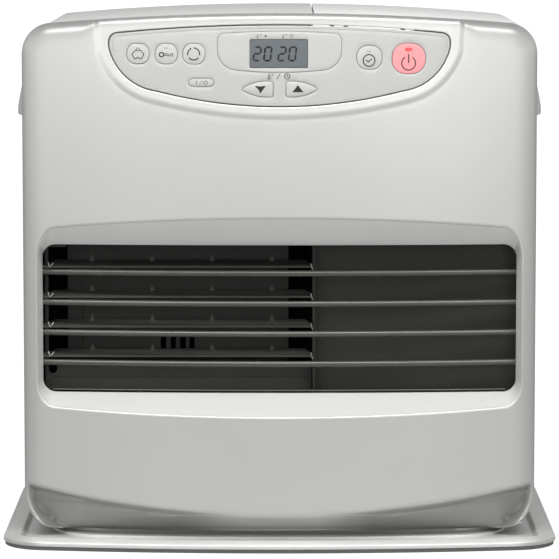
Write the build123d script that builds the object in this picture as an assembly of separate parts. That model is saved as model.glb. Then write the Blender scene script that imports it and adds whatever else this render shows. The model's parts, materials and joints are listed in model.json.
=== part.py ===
from build123d import *
import math
import os

os.makedirs("parts", exist_ok=True)

# Free-standing forced-air paraffin heater.  Millimetres, +Z up, front faces -Y,
# origin at the bottom centre of the overall bounding box.

# ------------------------------------------------------------------ dimensions
# tray
TRAY_HW = 227.5          # half width
TRAY_HD = 152.5          # half depth
TRAY_R = 1280.0          # plan radius of the bowed front edge
TRAY_CR = 38.0           # front corner radius
RIM_Z = 7.2              # top of the rolled rim
# body
HW = 211.5               # half width of the body
Z_TOP = 436.3            # crown height in the middle
Z_BOT = 9.0              # underside of the body
CROWN_R = 2050.0         # crown radius in elevation
TOP_CR = 26.0            # rounded top corners in elevation
BOT_CR = 30.0            # rounded bottom corners in elevation
Y_FACE = -119.0          # front face in the middle
FACE_R = 812.0           # plan radius of the bowed front
FACE_CR = 18.0           # plan radius of the vertical front corners
Y_WRAP = -58.0           # where the front panel wraps onto the sides
Y_BACK = 138.0           # rear of the body
T_FRONT = 2.0            # wall of the front panel
T_SHEET = 1.2            # wall of the cabinet sheets
# outlet window and its scooped surround
WIN_HX = 195.5
WIN_Z0, WIN_Z1 = 122.5, 245.0
Y_WIN = -85.0            # window edge in the middle
WIN_R = 1900.0           # plan radius of the window edge
K_TOP, K_BOT = 0.75, 0.46    # slopes of the scoop walls
# outlet grille
ROD_D = 5.0
ROD_Z = (222.5, 197.3, 172.6, 147.9)
ROD_Y, ROD_BOW_R = -87.3, 1275.0
VANE_Z = (232.5, 207.5, 182.8, 158.2)
X_SPLIT = 28.0           # between the hot outlet (left) and the blank plate (right)
# tank lid
LID_X0 = 28.2
LID_Y0 = -94.0
HINGE_Y, HINGE_Z = 131.0, 425.5
HINGE_PIN_R = 1.5
# control panel
FASCIA_OUT, FASCIA_IN = 1.7, -0.9    # offsets of its two faces from the front face
POD_OUT = 2.6
BTN_OUT = 2.5
BOARD_Y = -96.4          # front side of the display board
# machinery
FAN_X, FAN_Z = -86.0, 232.0
TANK = (38.0, 182.0, -52.0, 96.0, 72.0, 362.0)   # x0 x1 y0 y1 z0 z1

FACE_AXIS_Y = Y_FACE + FACE_R


# --------------------------------------------------------------------- helpers
def box(x0, x1, y0, y1, z0, z1):
    return Pos((x0 + x1) / 2, (y0 + y1) / 2, (z0 + z1) / 2) * Box(x1 - x0, y1 - y0, z1 - z0)


def cyl(axis, a, b, r, t0, t1):
    """Cylinder along x, y or z between t0 and t1; a, b are the two other coordinates in xyz order."""
    h, m = t1 - t0, (t0 + t1) / 2
    if axis == "x":
        return Pos(m, a, b) * Rot(0, 90, 0) * Cylinder(r, h)
    if axis == "y":
        return Pos(a, m, b) * Rot(90, 0, 0) * Cylinder(r, h)
    return Pos(a, b, m) * Cylinder(r, h)


def tube(axis, a, b, r1, r0, t0, t1):
    return cyl(axis, a, b, r1, t0, t1) - cyl(axis, a, b, r0, t0 - 1, t1 + 1)


def along_y(sk, y0, y1):
    """Extrudes an elevation sketch (x, z) between two y planes."""
    return Pos(0, y0, 0) * extrude(Plane.XZ * sk, amount=-(y1 - y0))


def along_z(sk, z0, z1):
    return Pos(0, 0, z0) * extrude(sk, amount=z1 - z0)


def along_x(pts, x0, x1):
    """Extrudes a side-profile polygon of (y, z) points between two x planes."""
    return Pos(x0, 0, 0) * extrude(Plane.YZ * make_face(Polyline(*pts, close=True)), amount=x1 - x0)


def poly(*pts):
    return make_face(Polyline(*pts, close=True))


def rrect(cx, cz, w, h, r):
    return Pos(cx, cz) * RectangleRounded(w, h, r)


def crown_z(x, drop=0.0):
    return Z_TOP - drop - (CROWN_R - math.sqrt(CROWN_R**2 - x * x))


def face_y(x, off=0.0):
    r = FACE_R + off
    return FACE_AXIS_Y - math.sqrt(r * r - x * x)


def elevation(t=0.0, left_bevel=False):
    """Front view outline of the body, inset by t."""
    hw, zb = HW - t, Z_BOT + t
    zt = crown_z(hw, t)
    outline = (
        ThreePointArc((-hw, zt), (0, Z_TOP - t), (hw, zt))
        + Line((hw, zt), (hw, zb))
        + Line((hw, zb), (-hw, zb))
        + Line((-hw, zb), (-hw, zt))
    )
    f = make_face(outline)
    vs = f.vertices()
    tops = [v for v in vs if v.Y > 200]
    bots = [v for v in vs if v.Y < 200]
    if left_bevel:
        f = fillet([v for v in tops if v.X > 0], TOP_CR - t)
        # straight slanting cut from 24.5 mm along the top to 12.4 mm down the side
        a, b = Vector(-187.0, crown_z(187.0)), Vector(-HW, crown_z(187.0) - 12.35)
        u = (b - a).normalized()
        n = Vector(u.Y, -u.X)
        a, b = a - n * t - u * 30.0, b - n * t + u * 30.0
        c, d = b + n * 60.0, a + n * 60.0
        f -= poly((a.X, a.Y), (b.X, b.Y), (c.X, c.Y), (d.X, d.Y))
    else:
        f = fillet(tops, TOP_CR - t)
    return fillet([v for v in f.vertices() if v.Y < 200 and abs(v.Y - zb) < 0.01], BOT_CR - t)


def plan(t=0.0, y_back=Y_WRAP):
    """Top view outline of the front panel, inset by t."""
    hw, r = HW - t, FACE_R - t
    yc = FACE_AXIS_Y - math.sqrt(r * r - hw * hw)
    f = make_face(
        ThreePointArc((-hw, yc), (0, Y_FACE + t), (hw, yc))
        + Line((hw, yc), (hw, y_back))
        + Line((hw, y_back), (-hw, y_back))
        + Line((-hw, y_back), (-hw, yc))
    )
    return fillet([v for v in f.vertices() if v.Y < y_back - 5], FACE_CR - t)


def face_shell(off_in, off_out):
    """Ring sector between two offsets of the front face."""
    a = cyl("z", 0, FACE_AXIS_Y, FACE_R + off_out, 300, 460)
    b = cyl("z", 0, FACE_AXIS_Y, FACE_R + off_in, 299, 461)
    return (a - b) & box(-230, 230, -140, -60, 301, 459)


def arc_prism(r, y_front, z0, z1, thick, x0, x1):
    """Curved plate whose front is an arc of radius r in plan."""
    ax = y_front + r
    s = cyl("z", 0, ax, r, z0, z1) - cyl("z", 0, ax, r - thick, z0 - 1, z1 + 1)
    return s & box(x0, x1, y_front - 5, y_front + 60, z0, z1)


def loft2(a, b):
    return Solid.make_loft([a.wires()[0], b.wires()[0]])


def on_face(sk, off_in, off_out):
    """A sketch in elevation carried back onto a curved layer of the front face."""
    return along_y(sk, -135, -70) & face_shell(off_in, off_out)


def rod_arc(y, z, r, bow_r, half_x):
    """Round bar bowed forward in plan, lying level."""
    ax = Axis((0, y + bow_r, 0), (0, 0, 1))
    a = math.degrees(math.asin(half_x / bow_r))
    c = Plane.YZ * (Pos(y, z) * Circle(r))
    return revolve(c.rotate(ax, -a), ax, revolution_arc=2 * a)


def solids(*parts):
    out = []
    for p in parts:
        out.extend(p.solids())
    return Compound(children=out)


def save(name, shape):
    ss = shape.solids()
    export_step(Compound(children=ss) if len(ss) > 1 else ss[0], f"parts/{name}.step")


# ------------------------------------------------------------------- base tray
def tray_outline(t=0.0):
    hw, hd, r = TRAY_HW - t, TRAY_HD - t, TRAY_R - t
    yc = -hd + r - math.sqrt(r * r - hw * hw)
    f = make_face(
        ThreePointArc((-hw, yc), (0, -hd), (hw, yc))
        + Line((hw, yc), (hw, hd))
        + Line((hw, hd), (-hw, hd))
        + Line((-hw, hd), (-hw, yc))
    )
    f = fillet([v for v in f.vertices() if v.Y < 0], TRAY_CR - t)
    return fillet([v for v in f.vertices() if v.Y > hd - 0.01], max(1.0, 16.0 - t))


def well_outline(t=0.0):
    """Edge where the flat ledge of the tray drops to its floor, shrunk by t."""
    hw, yf, yb, r = 212.5 - t, -128.6 + t, 140.0 - t, 1300.0
    yc = yf + r - math.sqrt(r * r - hw * hw)
    f = make_face(
        ThreePointArc((-hw, yc), (0, yf), (hw, yc))
        + Line((hw, yc), (hw, yb))
        + Line((hw, yb), (-hw, yb))
        + Line((-hw, yb), (-hw, yc))
    )
    f = fillet([v for v in f.vertices() if v.Y < 0], 16.0)
    return fillet([v for v in f.vertices() if v.Y > 100], 10.0)


def plinth_outline(hw, yf, sag, r):
    f = make_face(
        ThreePointArc((-hw, yf + sag), (0, yf), (hw, yf + sag))
        + Line((hw, yf + sag), (hw, 136))
        + Line((hw, 136), (-hw, 136))
        + Line((-hw, 136), (-hw, yf + sag))
    )
    return fillet([v for v in f.vertices() if v.Y < 0], r)


FLOOR_Z = 3.4            # floor of the tray
STEP_Z = 5.4             # low step in front of the body
PLINTH_Z = 8.6           # what the cabinet stands on
outer_wall = along_z(tray_outline(0.0), 3.8, RIM_Z) - along_z(tray_outline(1.2), 3.0, 8.0)
ledge = along_z(tray_outline(0.0), RIM_Z - 1.2, RIM_Z) - along_z(well_outline(0.0), 5.0, 8.0)
skirt = along_z(tray_outline(1.4), 0.8, 4.2) - along_z(tray_outline(2.6), 0.0, 5.0)
pan = along_z(well_outline(2.2), FLOOR_Z - 1.2, FLOOR_Z)
slope = loft2(Pos(0, 0, FLOOR_Z - 1.2) * well_outline(2.2), Pos(0, 0, RIM_Z - 0.2) * well_outline(-1.4))
slope -= loft2(Pos(0, 0, FLOOR_Z) * well_outline(2.6), Pos(0, 0, RIM_Z + 1.0) * well_outline(-0.68))
step = along_z(plinth_outline(188.0, -103.7, 16.0, 46.0), FLOOR_Z - 0.2, STEP_Z)
plinth = along_z(plinth_outline(186.0, -84.0, 12.0, 40.0), STEP_Z - 0.2, PLINTH_Z)
tray = outer_wall + ledge + skirt + pan + slope + step + plinth
tray += along_z(tray_outline(0.6), 3.6, 4.2) - along_z(tray_outline(2.6), 3.0, 5.0)
# the step and the plinth are pressed sheet, hollow below
tray -= along_z(plinth_outline(186.8, -102.5, 16.0, 44.8), 0.0, STEP_Z - 1.2)
tray -= along_z(plinth_outline(184.8, -82.8, 12.0, 38.8), 0.0, PLINTH_Z - 1.2)
# keyhole-free rear lip holes are left out: the tray is fixed by two body screws at the front
PLUG_XY = ((-200.6, -22.0), (200.8, -26.0))
for x, y in PLUG_XY:
    tray -= cyl("z", x, y, 1.6, 1.0, 5.0)
save("base_tray", tray)

FEET = [(x, y) for x in (-190.0, 190.0) for y in (-98.0, 126.0)]
save("feet", solids(*[cyl("z", x, y, 9.0, 0.0, 2.2) for x, y in FEET]))

plugs = []
for x, y in PLUG_XY:
    head = Pos(x, y, FLOOR_Z) * Cylinder(3.8, 1.4, align=(Align.CENTER, Align.CENTER, Align.MIN))
    head = fillet(head.edges().filter_by(GeomType.CIRCLE).sort_by(Axis.Z)[-1], 1.0)
    head -= tube("z", x, y, 2.5, 1.2, FLOOR_Z + 0.9, FLOOR_Z + 2.0)
    head += cyl("z", x, y, 1.5, FLOOR_Z - 1.0, FLOOR_Z + 0.2)
    plugs.append(head)
save("tray_screws", solids(*plugs))

# ----------------------------------------------------------------- front panel
def fascia_sketch(t=0.0):
    """Outline of the control panel, grown by t."""
    f = make_face(
        ThreePointArc((138, 409.5), (125.0, 385.8), (100, 374.0))
        + ThreePointArc((100, 374.0), (0, 361.6), (-100, 374.0))
        + ThreePointArc((-100, 374.0), (-125.0, 385.8), (-138, 409.5))
        + Line((-138, 409.5), (-138, 419.4))
        + ThreePointArc((-138, 419.4), (0, 426.8), (138, 419.4))
        + Line((138, 419.4), (138, 409.5))
    )
    f = fillet([v for v in f.vertices() if v.Y > 415], 7.0)
    return offset(f, t) if t else f


def pod_sketch():
    return make_face(
        ThreePointArc((150.4, 404.0), (136.0, 379.6), (103.4, 361.8))
        + ThreePointArc((103.4, 361.8), (0, 349.4), (-103.4, 361.8))
        + ThreePointArc((-103.4, 361.8), (-136.0, 379.6), (-150.4, 404.0))
        + Polyline((-150.4, 404.0), (-151.5, 424.0), (-151.5, 450.0), (151.5, 450.0), (151.5, 424.0), (150.4, 404.0))
    )


outer = along_z(plan(), 0, 450) & along_y(elevation(), -140, Y_WRAP)
inner = along_z(plan(T_FRONT, Y_WRAP + 10), 0, 450) & along_y(elevation(T_FRONT), -140, Y_WRAP + 10)

# raised pod around the control panel
pod = along_y(pod_sketch(), -130, -95) & (
    cyl("z", 0, FACE_AXIS_Y, FACE_R + POD_OUT, 300, 450)) & along_y(elevation(1.2), -140, Y_WRAP)

# undercut chin below a smile-shaped lower edge
CH_N = 230.0


def smile_z(x):
    return 26.0 + x * x / 2020.0


up = ThreePointArc((-CH_N, face_y(CH_N) - 0.0, smile_z(CH_N)), (0, Y_FACE, smile_z(0)), (CH_N, face_y(CH_N), smile_z(CH_N)))
lo = ThreePointArc((-CH_N, -91.0 + CH_N**2 / 2300.0, 8.0), (0, -91.0, 8.0), (CH_N, -91.0 + CH_N**2 / 2300.0, 8.0))
chin_face = Face.make_surface_from_curves(up, lo)
chin_cut = extrude(chin_face, amount=90, dir=(0, -1, 0))
chin_in = Pos(0, T_FRONT * 1.1, T_FRONT * 0.9) * extrude(chin_face, amount=90, dir=(0, -1, 0))

# scoop around the outlet window: oblique walls revolved about the far vertical axis
WIN_AXIS = Axis((0, Y_WIN + WIN_R, 0), (0, 0, 1))


def win_revolve(pts):
    f = Plane.YZ * make_face(Polyline(*pts, close=True))
    f = f.rotate(WIN_AXIS, -7)
    return revolve(f, WIN_AXIS, revolution_arc=14)


def funnel(t, r):
    """Flared pocket between the window edge and well in front of the face, grown by t."""
    reach = -132.0
    flare = Y_WIN - reach
    s = win_revolve([(Y_WIN, WIN_Z0 - t), (Y_WIN, WIN_Z1 + t),
                     (reach, WIN_Z1 + t + K_TOP * flare), (reach, WIN_Z0 - t - K_BOT * flare)])
    y_end = -75.0
    d = y_end - reach
    near = rrect(0, (WIN_Z0 + WIN_Z1) / 2, 2 * (WIN_HX + t), WIN_Z1 - WIN_Z0 + 2 * t + 1.0, r)
    z0, z1 = WIN_Z0 - t - 0.5 - K_BOT * d, WIN_Z1 + t + 0.5 + K_TOP * d
    far = rrect(0, (z0 + z1) / 2, 2 * (WIN_HX + t + 11.0), z1 - z0, r + 4.0)
    lim = loft2(Pos(0, y_end, 0) * (Plane.XZ * near), Pos(0, reach, 0) * (Plane.XZ * far))
    return s & lim


def window_prism(t, y0, y1, r):
    s = along_y(rrect(0, (WIN_Z0 + WIN_Z1) / 2, 2 * (WIN_HX + t), WIN_Z1 - WIN_Z0 + 2 * t, r), y0, y1)
    return s


pocket = funnel(0.0, 10.7)
funnel_out = funnel(2.2, 12.9)
window_cut = window_prism(0.0, -92.0, -50.0, 10.7)


TOP_SPLIT = 13.0         # width of the front panel's rolled top, measured from the face
Z_LID = 404.0            # lower edge of the lid and top plate at the sides
behind_roll = cyl("z", 0, FACE_AXIS_Y, FACE_R - TOP_SPLIT, Z_LID - 0.4, 450) & box(-230, 230, -130, -50, 300, 450)

outer_soft = outer
try:
    roll = [e for e in outer.edges() if e.center().Z > 425 and e.center().Y < -100]
    outer_soft = fillet(roll, 5.0)
except Exception:
    outer_soft = outer
front = outer_soft + pod
front -= chin_cut
front = front - (inner - chin_in)
front += (funnel_out & outer)
front = front - pocket - window_cut
front -= along_y(fascia_sketch(0.3), -140, -90)
front -= behind_roll
save("front_panel", front)

rods = [rod_arc(ROD_Y, z, ROD_D / 2, ROD_BOW_R, 199.6) for z in ROD_Z]
save("grille_rods", solids(*rods))

# --------------------------------------------------------------- control panel
BUTTONS = {
    "economy_button": rrect(-114.7, 403.6, 17.9, 16.1, 7.0),
    "lock_button": rrect(-91.7, 403.6, 17.9, 16.1, 7.0),
    "cycle_button": rrect(-69.2, 403.6, 17.9, 16.1, 7.0),
    "mode_button": rrect(-63.5, 380.6, 19.7, 6.4, 3.1),
    "timer_button": rrect(72.7, 400.8, 20.4, 18.7, 8.4),
    "power_button": rrect(104.7, 399.8, 27.0, 24.4, 11.0),
}
for name, m in (("down_button", -1), ("up_button", 1)):
    BUTTONS[name] = make_face(
        ThreePointArc((m * 5.3, 369.4), (m * 19.0, 370.1), (m * 29.4, 374.3))
        + Line((m * 29.4, 374.3), (m * 29.4, 376.3))
        + ThreePointArc((m * 29.4, 376.3), (m * 19.0, 380.6), (m * 5.3, 381.2))
        + Line((m * 5.3, 381.2), (m * 5.3, 369.4))
    )
CENTRES = {"economy_button": (-114.7, 403.6), "lock_button": (-91.7, 403.6), "cycle_button": (-69.2, 403.6),
           "mode_button": (-63.5, 380.6), "timer_button": (72.7, 400.8), "power_button": (104.7, 399.8),
           "down_button": (-17.0, 375.3), "up_button": (17.0, 375.3)}
BEZEL_PTS = [(-49.7, 421.5), (49.7, 421.5), (49.7, 389.6), (-49.7, 389.6)]
LCD = (-24.1, 22.6, 392.2, 415.3)

panel = on_face(fascia_sketch(), FASCIA_IN, FASCIA_OUT)
bez = poly(*BEZEL_PTS)
bez = fillet([v for v in bez.vertices() if v.Y < 400], 15.0)
bez = fillet([v for v in bez.vertices() if v.Y > 415], 3.0)
panel += on_face(bez, 1.0, 2.2)
panel -= on_face(rrect((LCD[0] + LCD[1]) / 2, (LCD[2] + LCD[3]) / 2, LCD[1] - LCD[0], LCD[3] - LCD[2], 0.8), -3, 6)
for sk in BUTTONS.values():
    panel -= on_face(offset(sk, 0.3), -3, 6)
for x, z in ((-129.5, 409), (129.5, 409), (-45, 373.5), (45, 373.5), (-54, 415), (54, 415)):
    panel += cyl("y", x, z, 2.5, face_y(x) + 0.5, BOARD_Y)
save("control_panel", panel)

STEM_END = BOARD_Y - 4.7
for name, sk in BUTTONS.items():
    cx, cz = CENTRES[name]
    cap = on_face(sk, -2.4, BTN_OUT)
    cap += on_face(offset(sk, 1.1), -2.4, -1.3)
    cap += cyl("y", cx, cz, 2.2, face_y(cx, -2.0), STEM_END)
    if name == "power_button":
        lens_hole = rrect(cx - 0.1, 407.6, 5.6, 2.5, 1.2)
        cap -= on_face(lens_hole, 0.5, 6)
    save(name, cap)
save("power_lens", on_face(rrect(104.6, 407.6, 5.4, 2.3, 1.1), 0.5, 2.9))

board = along_y(poly((-131, 400), (-131, 413), (-60, 418.5), (60, 418.5), (131, 413), (131, 400), (120, 386), (97, 378),
                     (45, 369), (-45, 369), (-97, 378), (-120, 386)), BOARD_Y, BOARD_Y + 1.6)
save("display_board", board)
mod = box(-27.5, 26.0, -117.2, -110.5, 389.4, 418.2) + box(-20, 20, -111, BOARD_Y, 393, 414)
mod = mod - on_face(rrect(-0.75, 403.75, 46.9, 23.3, 0.8), -0.9, 4)
save("display_module", mod)
sw = []
for name, (cx, cz) in CENTRES.items():
    sw.append(box(cx - 3, cx + 3, BOARD_Y - 3.5, BOARD_Y, cz - 3, cz + 3))
save("button_switches", solids(*sw))

# ------------------------------------------------------------ cabinet and tops
def ring(t, bevel=False):
    a = along_y(elevation(0.0, bevel), -135, Y_BACK)
    b = along_y(elevation(t, bevel), -136, Y_BACK + 1)
    return a, b


body_a, body_b = ring(T_SHEET)
shell = body_a - body_b
bev_a, bev_b = ring(T_SHEET, True)
bevel_shell = bev_a - bev_b
lid_a, lid_b = ring(2.6)
behind = cyl("z", 0, FACE_AXIS_Y, FACE_R - TOP_SPLIT - 0.6, 300, 460)

Y_SIDE = Y_WRAP + 0.5
top = (bevel_shell & behind) & box(-230, LID_X0 - 1.2, -120, Y_BACK, 413.0, 450)
top += (bev_a & behind) & box(LID_X0 - 2.6, LID_X0 - 1.2, -120, Y_BACK - 1.6, 424.0, 450)
# rolled front flange that tucks behind the front panel's top roll
save("top_plate", top)

HANDLE = (-36.0, 56.0, 317.0, 380.0)     # y0 y1 z0 z1 of the grip opening
hole_l = box(-230, -200, HANDLE[0] - 0.3, HANDLE[1] + 0.3, HANDLE[2] - 0.3, HANDLE[3] + 0.3)
hole_r = box(200, 230, HANDLE[0] - 0.3, HANDLE[1] + 0.3, HANDLE[2] - 0.3, HANDLE[3] + 0.3)
left = (bevel_shell & box(-230, -150, Y_SIDE, Y_BACK - 1.6, 0, 412.6)) - hole_l
right = (shell & box(150, 230, Y_SIDE, Y_BACK - 1.6, 0, Z_LID - 0.5)) - hole_r
right -= box(200, 230, 119.0, 145.0, 401.8, 410.0)      # room for the rear corner of the opening lid
# lower cabinet sheets turn in under the machine and end beside the plinth
save("side_panel_left", left)
save("side_panel_right", right)


def handle(m):
    """Grip cup let into the side with a hood over its mouth, open below."""
    y0, y1, z0, z1 = HANDLE
    x = HW

    def side(x0, x1, ya, yb, za, zb):
        lo, hi = sorted((m * x0, m * x1))
        return box(lo, hi, ya, yb, za, zb)

    h = side(x - 23.0, x, y0, y1, z0, z1) + side(x, x + 1.2, y0 - 4, y1 + 4, z0 - 4, z1 + 4)

    def belly(t):
        """The hood's lip bulges in plan, furthest out a little ahead of its middle."""
        f = make_face(
            ThreePointArc((m * (x + 2.4 - t), y0 - 0.1), (m * (x + 8.8 - t), 12.0), (m * (x + 2.4 - t), y1 + 0.1))
            + Polyline((m * (x + 2.4 - t), y1 + 0.1), (m * (x - 20.0), y1 + 0.1), (m * (x - 20.0), y0 - 0.1), (m * (x + 2.4 - t), y0 - 0.1))
        )
        return along_z(f, z0 - 10, z1 + 10)

    zh = z1 - 31.2
    h += along_y(poly((m * (x + 1.0), z1 + 0.5), (m * (x + 9.5), zh), (m * (x + 1.0), zh)), y0, y1) & belly(0.0)
    h -= side(x - 21.5, x + 0.1, y0 + 1.5, y1 - 1.5, z0 + 1.5, z1 - 1.5)
    h -= side(x - 1.0, x + 12.0, y0 + 1.5, y1 - 1.5, z0 + 1.5, zh)
    h -= along_y(poly((m * (x - 1.0), z1 - 1.5), (m * (x + 0.2), z1 - 4.0), (m * (x + 7.2), zh - 1.3), (m * (x - 1.0), zh - 1.3)), y0 + 2, y1 - 2) & belly(1.6)
    return h


save("handle_left", handle(-1))
save("handle_right", handle(1))

# tank lid: moulded cover forming the whole right-hand top
X_R = 230
in_lid = box(LID_X0, X_R, -130, Y_BACK, Z_LID, 450)
lid = ((lid_a - lid_b) & behind) & in_lid
rim_cut_a, rim_cut_b = lid_a, ring(9.0)[1]
front_rim = (lid_a - rim_cut_b) & behind & box(LID_X0, X_R, -130, 0, Z_LID, 450)
front_rim -= cyl("z", 0, FACE_AXIS_Y, FACE_R - TOP_SPLIT - 2.6, 300, 460)
left_rim = (lid_a - rim_cut_b) & behind & box(LID_X0, LID_X0 + 2.0, -130, Y_BACK, Z_LID, 450)
skirt_b = lid_a & box(LID_X0, X_R, Y_BACK - 2.0, Y_BACK, 419.0, 450)
KNUCKLES = ((44.0, 48.0, 56.0, 60.0), (106.0, 110.0, 118.0, 122.0))
for a, b, c, d in KNUCKLES:
    skirt_b -= box(a - 1.0, d + 1.0, 130, 145, 410, HINGE_Z + 4.3)
lid = lid + front_rim + left_rim + skirt_b
for a, b, c, d in KNUCKLES:
    kn = cyl("x", HINGE_Y, HINGE_Z, 3.5, b + 0.3, c - 0.3)
    kn += box(b + 0.3, c - 0.3, HINGE_Y - 3.0, HINGE_Y + 3.0, HINGE_Z, crown_z(c, 1.2))
    kn -= cyl("x", HINGE_Y, HINGE_Z, HINGE_PIN_R + 0.05, b - 1, c + 1)
    lid += kn
lid -= box(20, 230, -130, 150, 436.4, 450)
save("tank_lid", lid)

pins = [cyl("x", HINGE_Y, HINGE_Z, HINGE_PIN_R, a - 0.6, d + 0.6) for a, b, c, d in KNUCKLES]
save("lid_hinge_pins", solids(*pins))
brk = box(34, 168, 121, 126.6, 398.4, 413.0)
for a, b, c, d in KNUCKLES:
    for p, q in ((a, b), (c, d)):
        t = box(p, q, HINGE_Y - 3.5, HINGE_Y + 3.5, 402, HINGE_Z) + cyl("x", HINGE_Y, HINGE_Z, 3.5, p, q)
        t += box(p, q, 126, HINGE_Y, 402, 412.5)
        t -= cyl("x", HINGE_Y, HINGE_Z, HINGE_PIN_R + 0.05, p - 1, q + 1)
        brk += t
save("lid_hinge_bracket", brk)

# rear panel
rear = along_y(elevation(1.8, True), Y_BACK - 1.5, Y_BACK) & box(-230, 230, 130, 145, 0, Z_LID - 1.0)
rear += along_y(elevation(3.2, True), Y_BACK - 1.5, Y_BACK) & box(-230, 230, 130, 145, 300, 450)
rear -= box(LID_X0 - 3.0, 230, 130, 145, 412.0, 450)
rear &= box(-230, 230, 130, 145, 13.0, 432.0)
rear -= cyl("y", FAN_X, FAN_Z, 88.0, 130, 145)
for i in range(7):
    rear -= along_y(rrect(120, 150 + 14 * i, 96, 5, 2.4), 130, 145)
rear -= cyl("y", 150, 52, 7.0, 130, 145)
save("rear_panel", rear)

# --------------------------------------------------------------- outlet grille
fr = rrect(0, 183.75, 2 * (WIN_HX + 4.2), 122.5 + 8.4, 14) - rrect(0, 183.75, 2 * (WIN_HX + 2.6), 122.5 + 5.2, 12.5)
flange = rrect(0, 183.75, 2 * (WIN_HX + 8.0), 122.5 + 18.0, 16) - rrect(0, 183.75, 2 * (WIN_HX + 1.0), 122.5 + 2.0, 11.5)
frame = along_y(fr, -73.4, -57.2) + along_y(flange, -74.4, -73.0)
frame += box(X_SPLIT - 0.6, X_SPLIT + 1.4, -73.4, -57.2, 119.0, 248.0)
# the ends of the rods sit in round notches of the frame, behind the edge of the window
for z in ROD_Z:
    frame -= rod_arc(ROD_Y, z, ROD_D / 2 + 0.05, ROD_BOW_R, 203.0)
save("grille_frame", frame)

vanes = []
V_X0, V_X1 = -197.6, X_SPLIT - 0.9
for z in VANE_Z:
    zf = z - 7.2
    v = along_x([(-73.0, zf), (-73.0, zf + 1.6), (-57.0, zf + 5.2), (-57.0, zf + 3.6)], V_X0, V_X1)
    # rear corners snipped off
    v -= along_z(poly((-198.5, -66.0), (-192.0, -66.0), (-185.2, -56.0), (-198.5, -56.0)), 140.0, 240.0)
    v -= along_z(poly((28.0, -66.0), (25.4, -66.0), (20.8, -56.0), (28.0, -56.0)), 140.0, 240.0)
    # small upright stiffening ribs on the rear edge
    for x in (-155.4, -105.5, -56.0, -6.3):
        v += along_y(poly((x - 2.4, zf + 4.0), (x + 2.4, zf + 4.0), (x, zf + 9.6)), -60.4, -58.8)
    vanes.append(v)
save("louvre_vanes", solids(*vanes))

blank = along_y(rrect(0, 183.75, 2 * (WIN_HX + 2.4), 127.0, 12.3), -61.0, -59.8) & box(X_SPLIT + 1.6, 230, -70, -50, 100, 260)
save("blank_plate", blank)

DUCT = (-196.0, 27.2, -55.8, -20.0, 118.5, 249.5)
duct = box(*DUCT) - box(DUCT[0] + 1.2, DUCT[1] - 1.2, -60, 0, DUCT[4] + 1.2, DUCT[5] - 1.2)
save("outlet_duct", duct)
shield = box(-174.0, 6.0, -31.0, -29.8, DUCT[4] + 1.3, DUCT[5] - 1.3)
shield += box(-103.5, -66.4, -32.2, -31.0, 146.0, 170.0)
for a, b in ((-99.4, -95.2), (-91.1, -87.0), (-83.2, -78.7), (-75.4, -71.3)):
    shield -= box(a, b, -34, -28, 152.2, 163.2)
save("heat_shield", shield)

# ---------------------------------------------------------- burner and exhaust
BX, BY = -86.0, 26.0
ch = box(BX - 72, BX + 72, -6.0, 58.0, 128.0, 252.0) - box(BX - 70.5, BX + 70.5, -4.5, 56.5, 129.5, 250.5)
ch -= cyl("z", BX, BY, 30.0, 126, 131)
for i in range(9):
    ch -= box(BX - 62 + 14 * i, BX - 54 + 14 * i, -8, -3, 228, 240)
save("combustion_chamber", ch)
pot = tube("z", BX, BY, 36.0, 34.4, 40.0, 127.8) + cyl("z", BX, BY, 36.0, 38.4, 40.0)
pot += tube("z", BX, BY, 44.0, 34.4, 126.4, 127.8)
pot -= box(BX - 45, BX - 30, BY - 9, BY + 9, 47, 63)
for dx, dy in ((-26, -20), (26, -20), (0, 30)):
    pot += cyl("z", BX + dx, BY + dy, 4.0, 8.7, 39.0)
save("burner_pot", pot)
head = tube("z", BX, BY, 29.0, 27.6, 129.0, 158.0) + cyl("z", BX, BY, 29.0, 156.8, 158.0)
for k in range(12):
    a = math.radians(30 * k)
    head -= Pos(BX + 28 * math.cos(a), BY + 28 * math.sin(a), 146) * Rot(0, 0, 30 * k) * Box(8, 3.2, 12)
head += tube("z", BX, BY, 33.6, 27.6, 127.9, 129.4) & cyl("z", BX, BY, 29.8, 127.8, 129.5)
save("burner_head", head)
save("igniter", cyl("z", BX + 48, BY, 2.6, 129.6, 160.0) + cyl("z", BX + 48, BY, 5.0, 129.6, 136.0))
save("flame_sensor", cyl("z", BX - 48, BY, 1.6, 129.6, 176.0) + cyl("z", BX - 48, BY, 4.4, 129.6, 138.0))

# burner air blower
SX, SZ, SR = -168.0, 78.0, 34.0
hs = cyl("y", SX, SZ, SR, 4.0, 34.0) + box(SX, SX + 37.0, 12.0, 32.0, SZ - SR, SZ - SR + 18)
hs -= cyl("y", SX, SZ, SR - 1.6, 5.6, 32.4) + box(SX, SX + 40.0, 13.6, 30.4, SZ - SR + 1.6, SZ - SR + 16.4)
hs -= cyl("y", SX, SZ, 19.0, 2.0, 7.0) + cyl("y", SX, SZ, 4.0, 30, 36)
hs += box(SX - 12, SX + 12, 8, 30, 10.3, SZ - SR + 1.4) - cyl("y", SX, SZ, SR - 0.8, 0, 40)
save("blower_housing", hs)
save("blower_motor", cyl("y", SX, SZ, 20.0, 34.1, 62.0) + cyl("y", SX, SZ, 6.0, 62.0, 65.0)
     - cyl("y", SX, SZ, 1.6, 33.0, 44.5))
bw = cyl("y", SX, SZ, 26.0, 27.6, 29.0) + cyl("y", SX, SZ, 7.0, 14.0, 29.0) + cyl("y", SX, SZ, 1.5, 29.0, 44.0)
bw += tube("y", SX, SZ, 26.0, 23.0, 9.0, 10.4)
for k in range(16):
    bw += Pos(SX, 19.0, SZ) * Rot(0, 22.5 * k, 0) * Pos(24.4, 0, 0) * Rot(0, 30, 0) * Box(3.4, 20.0, 1.2)
save("blower_wheel", bw)

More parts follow.
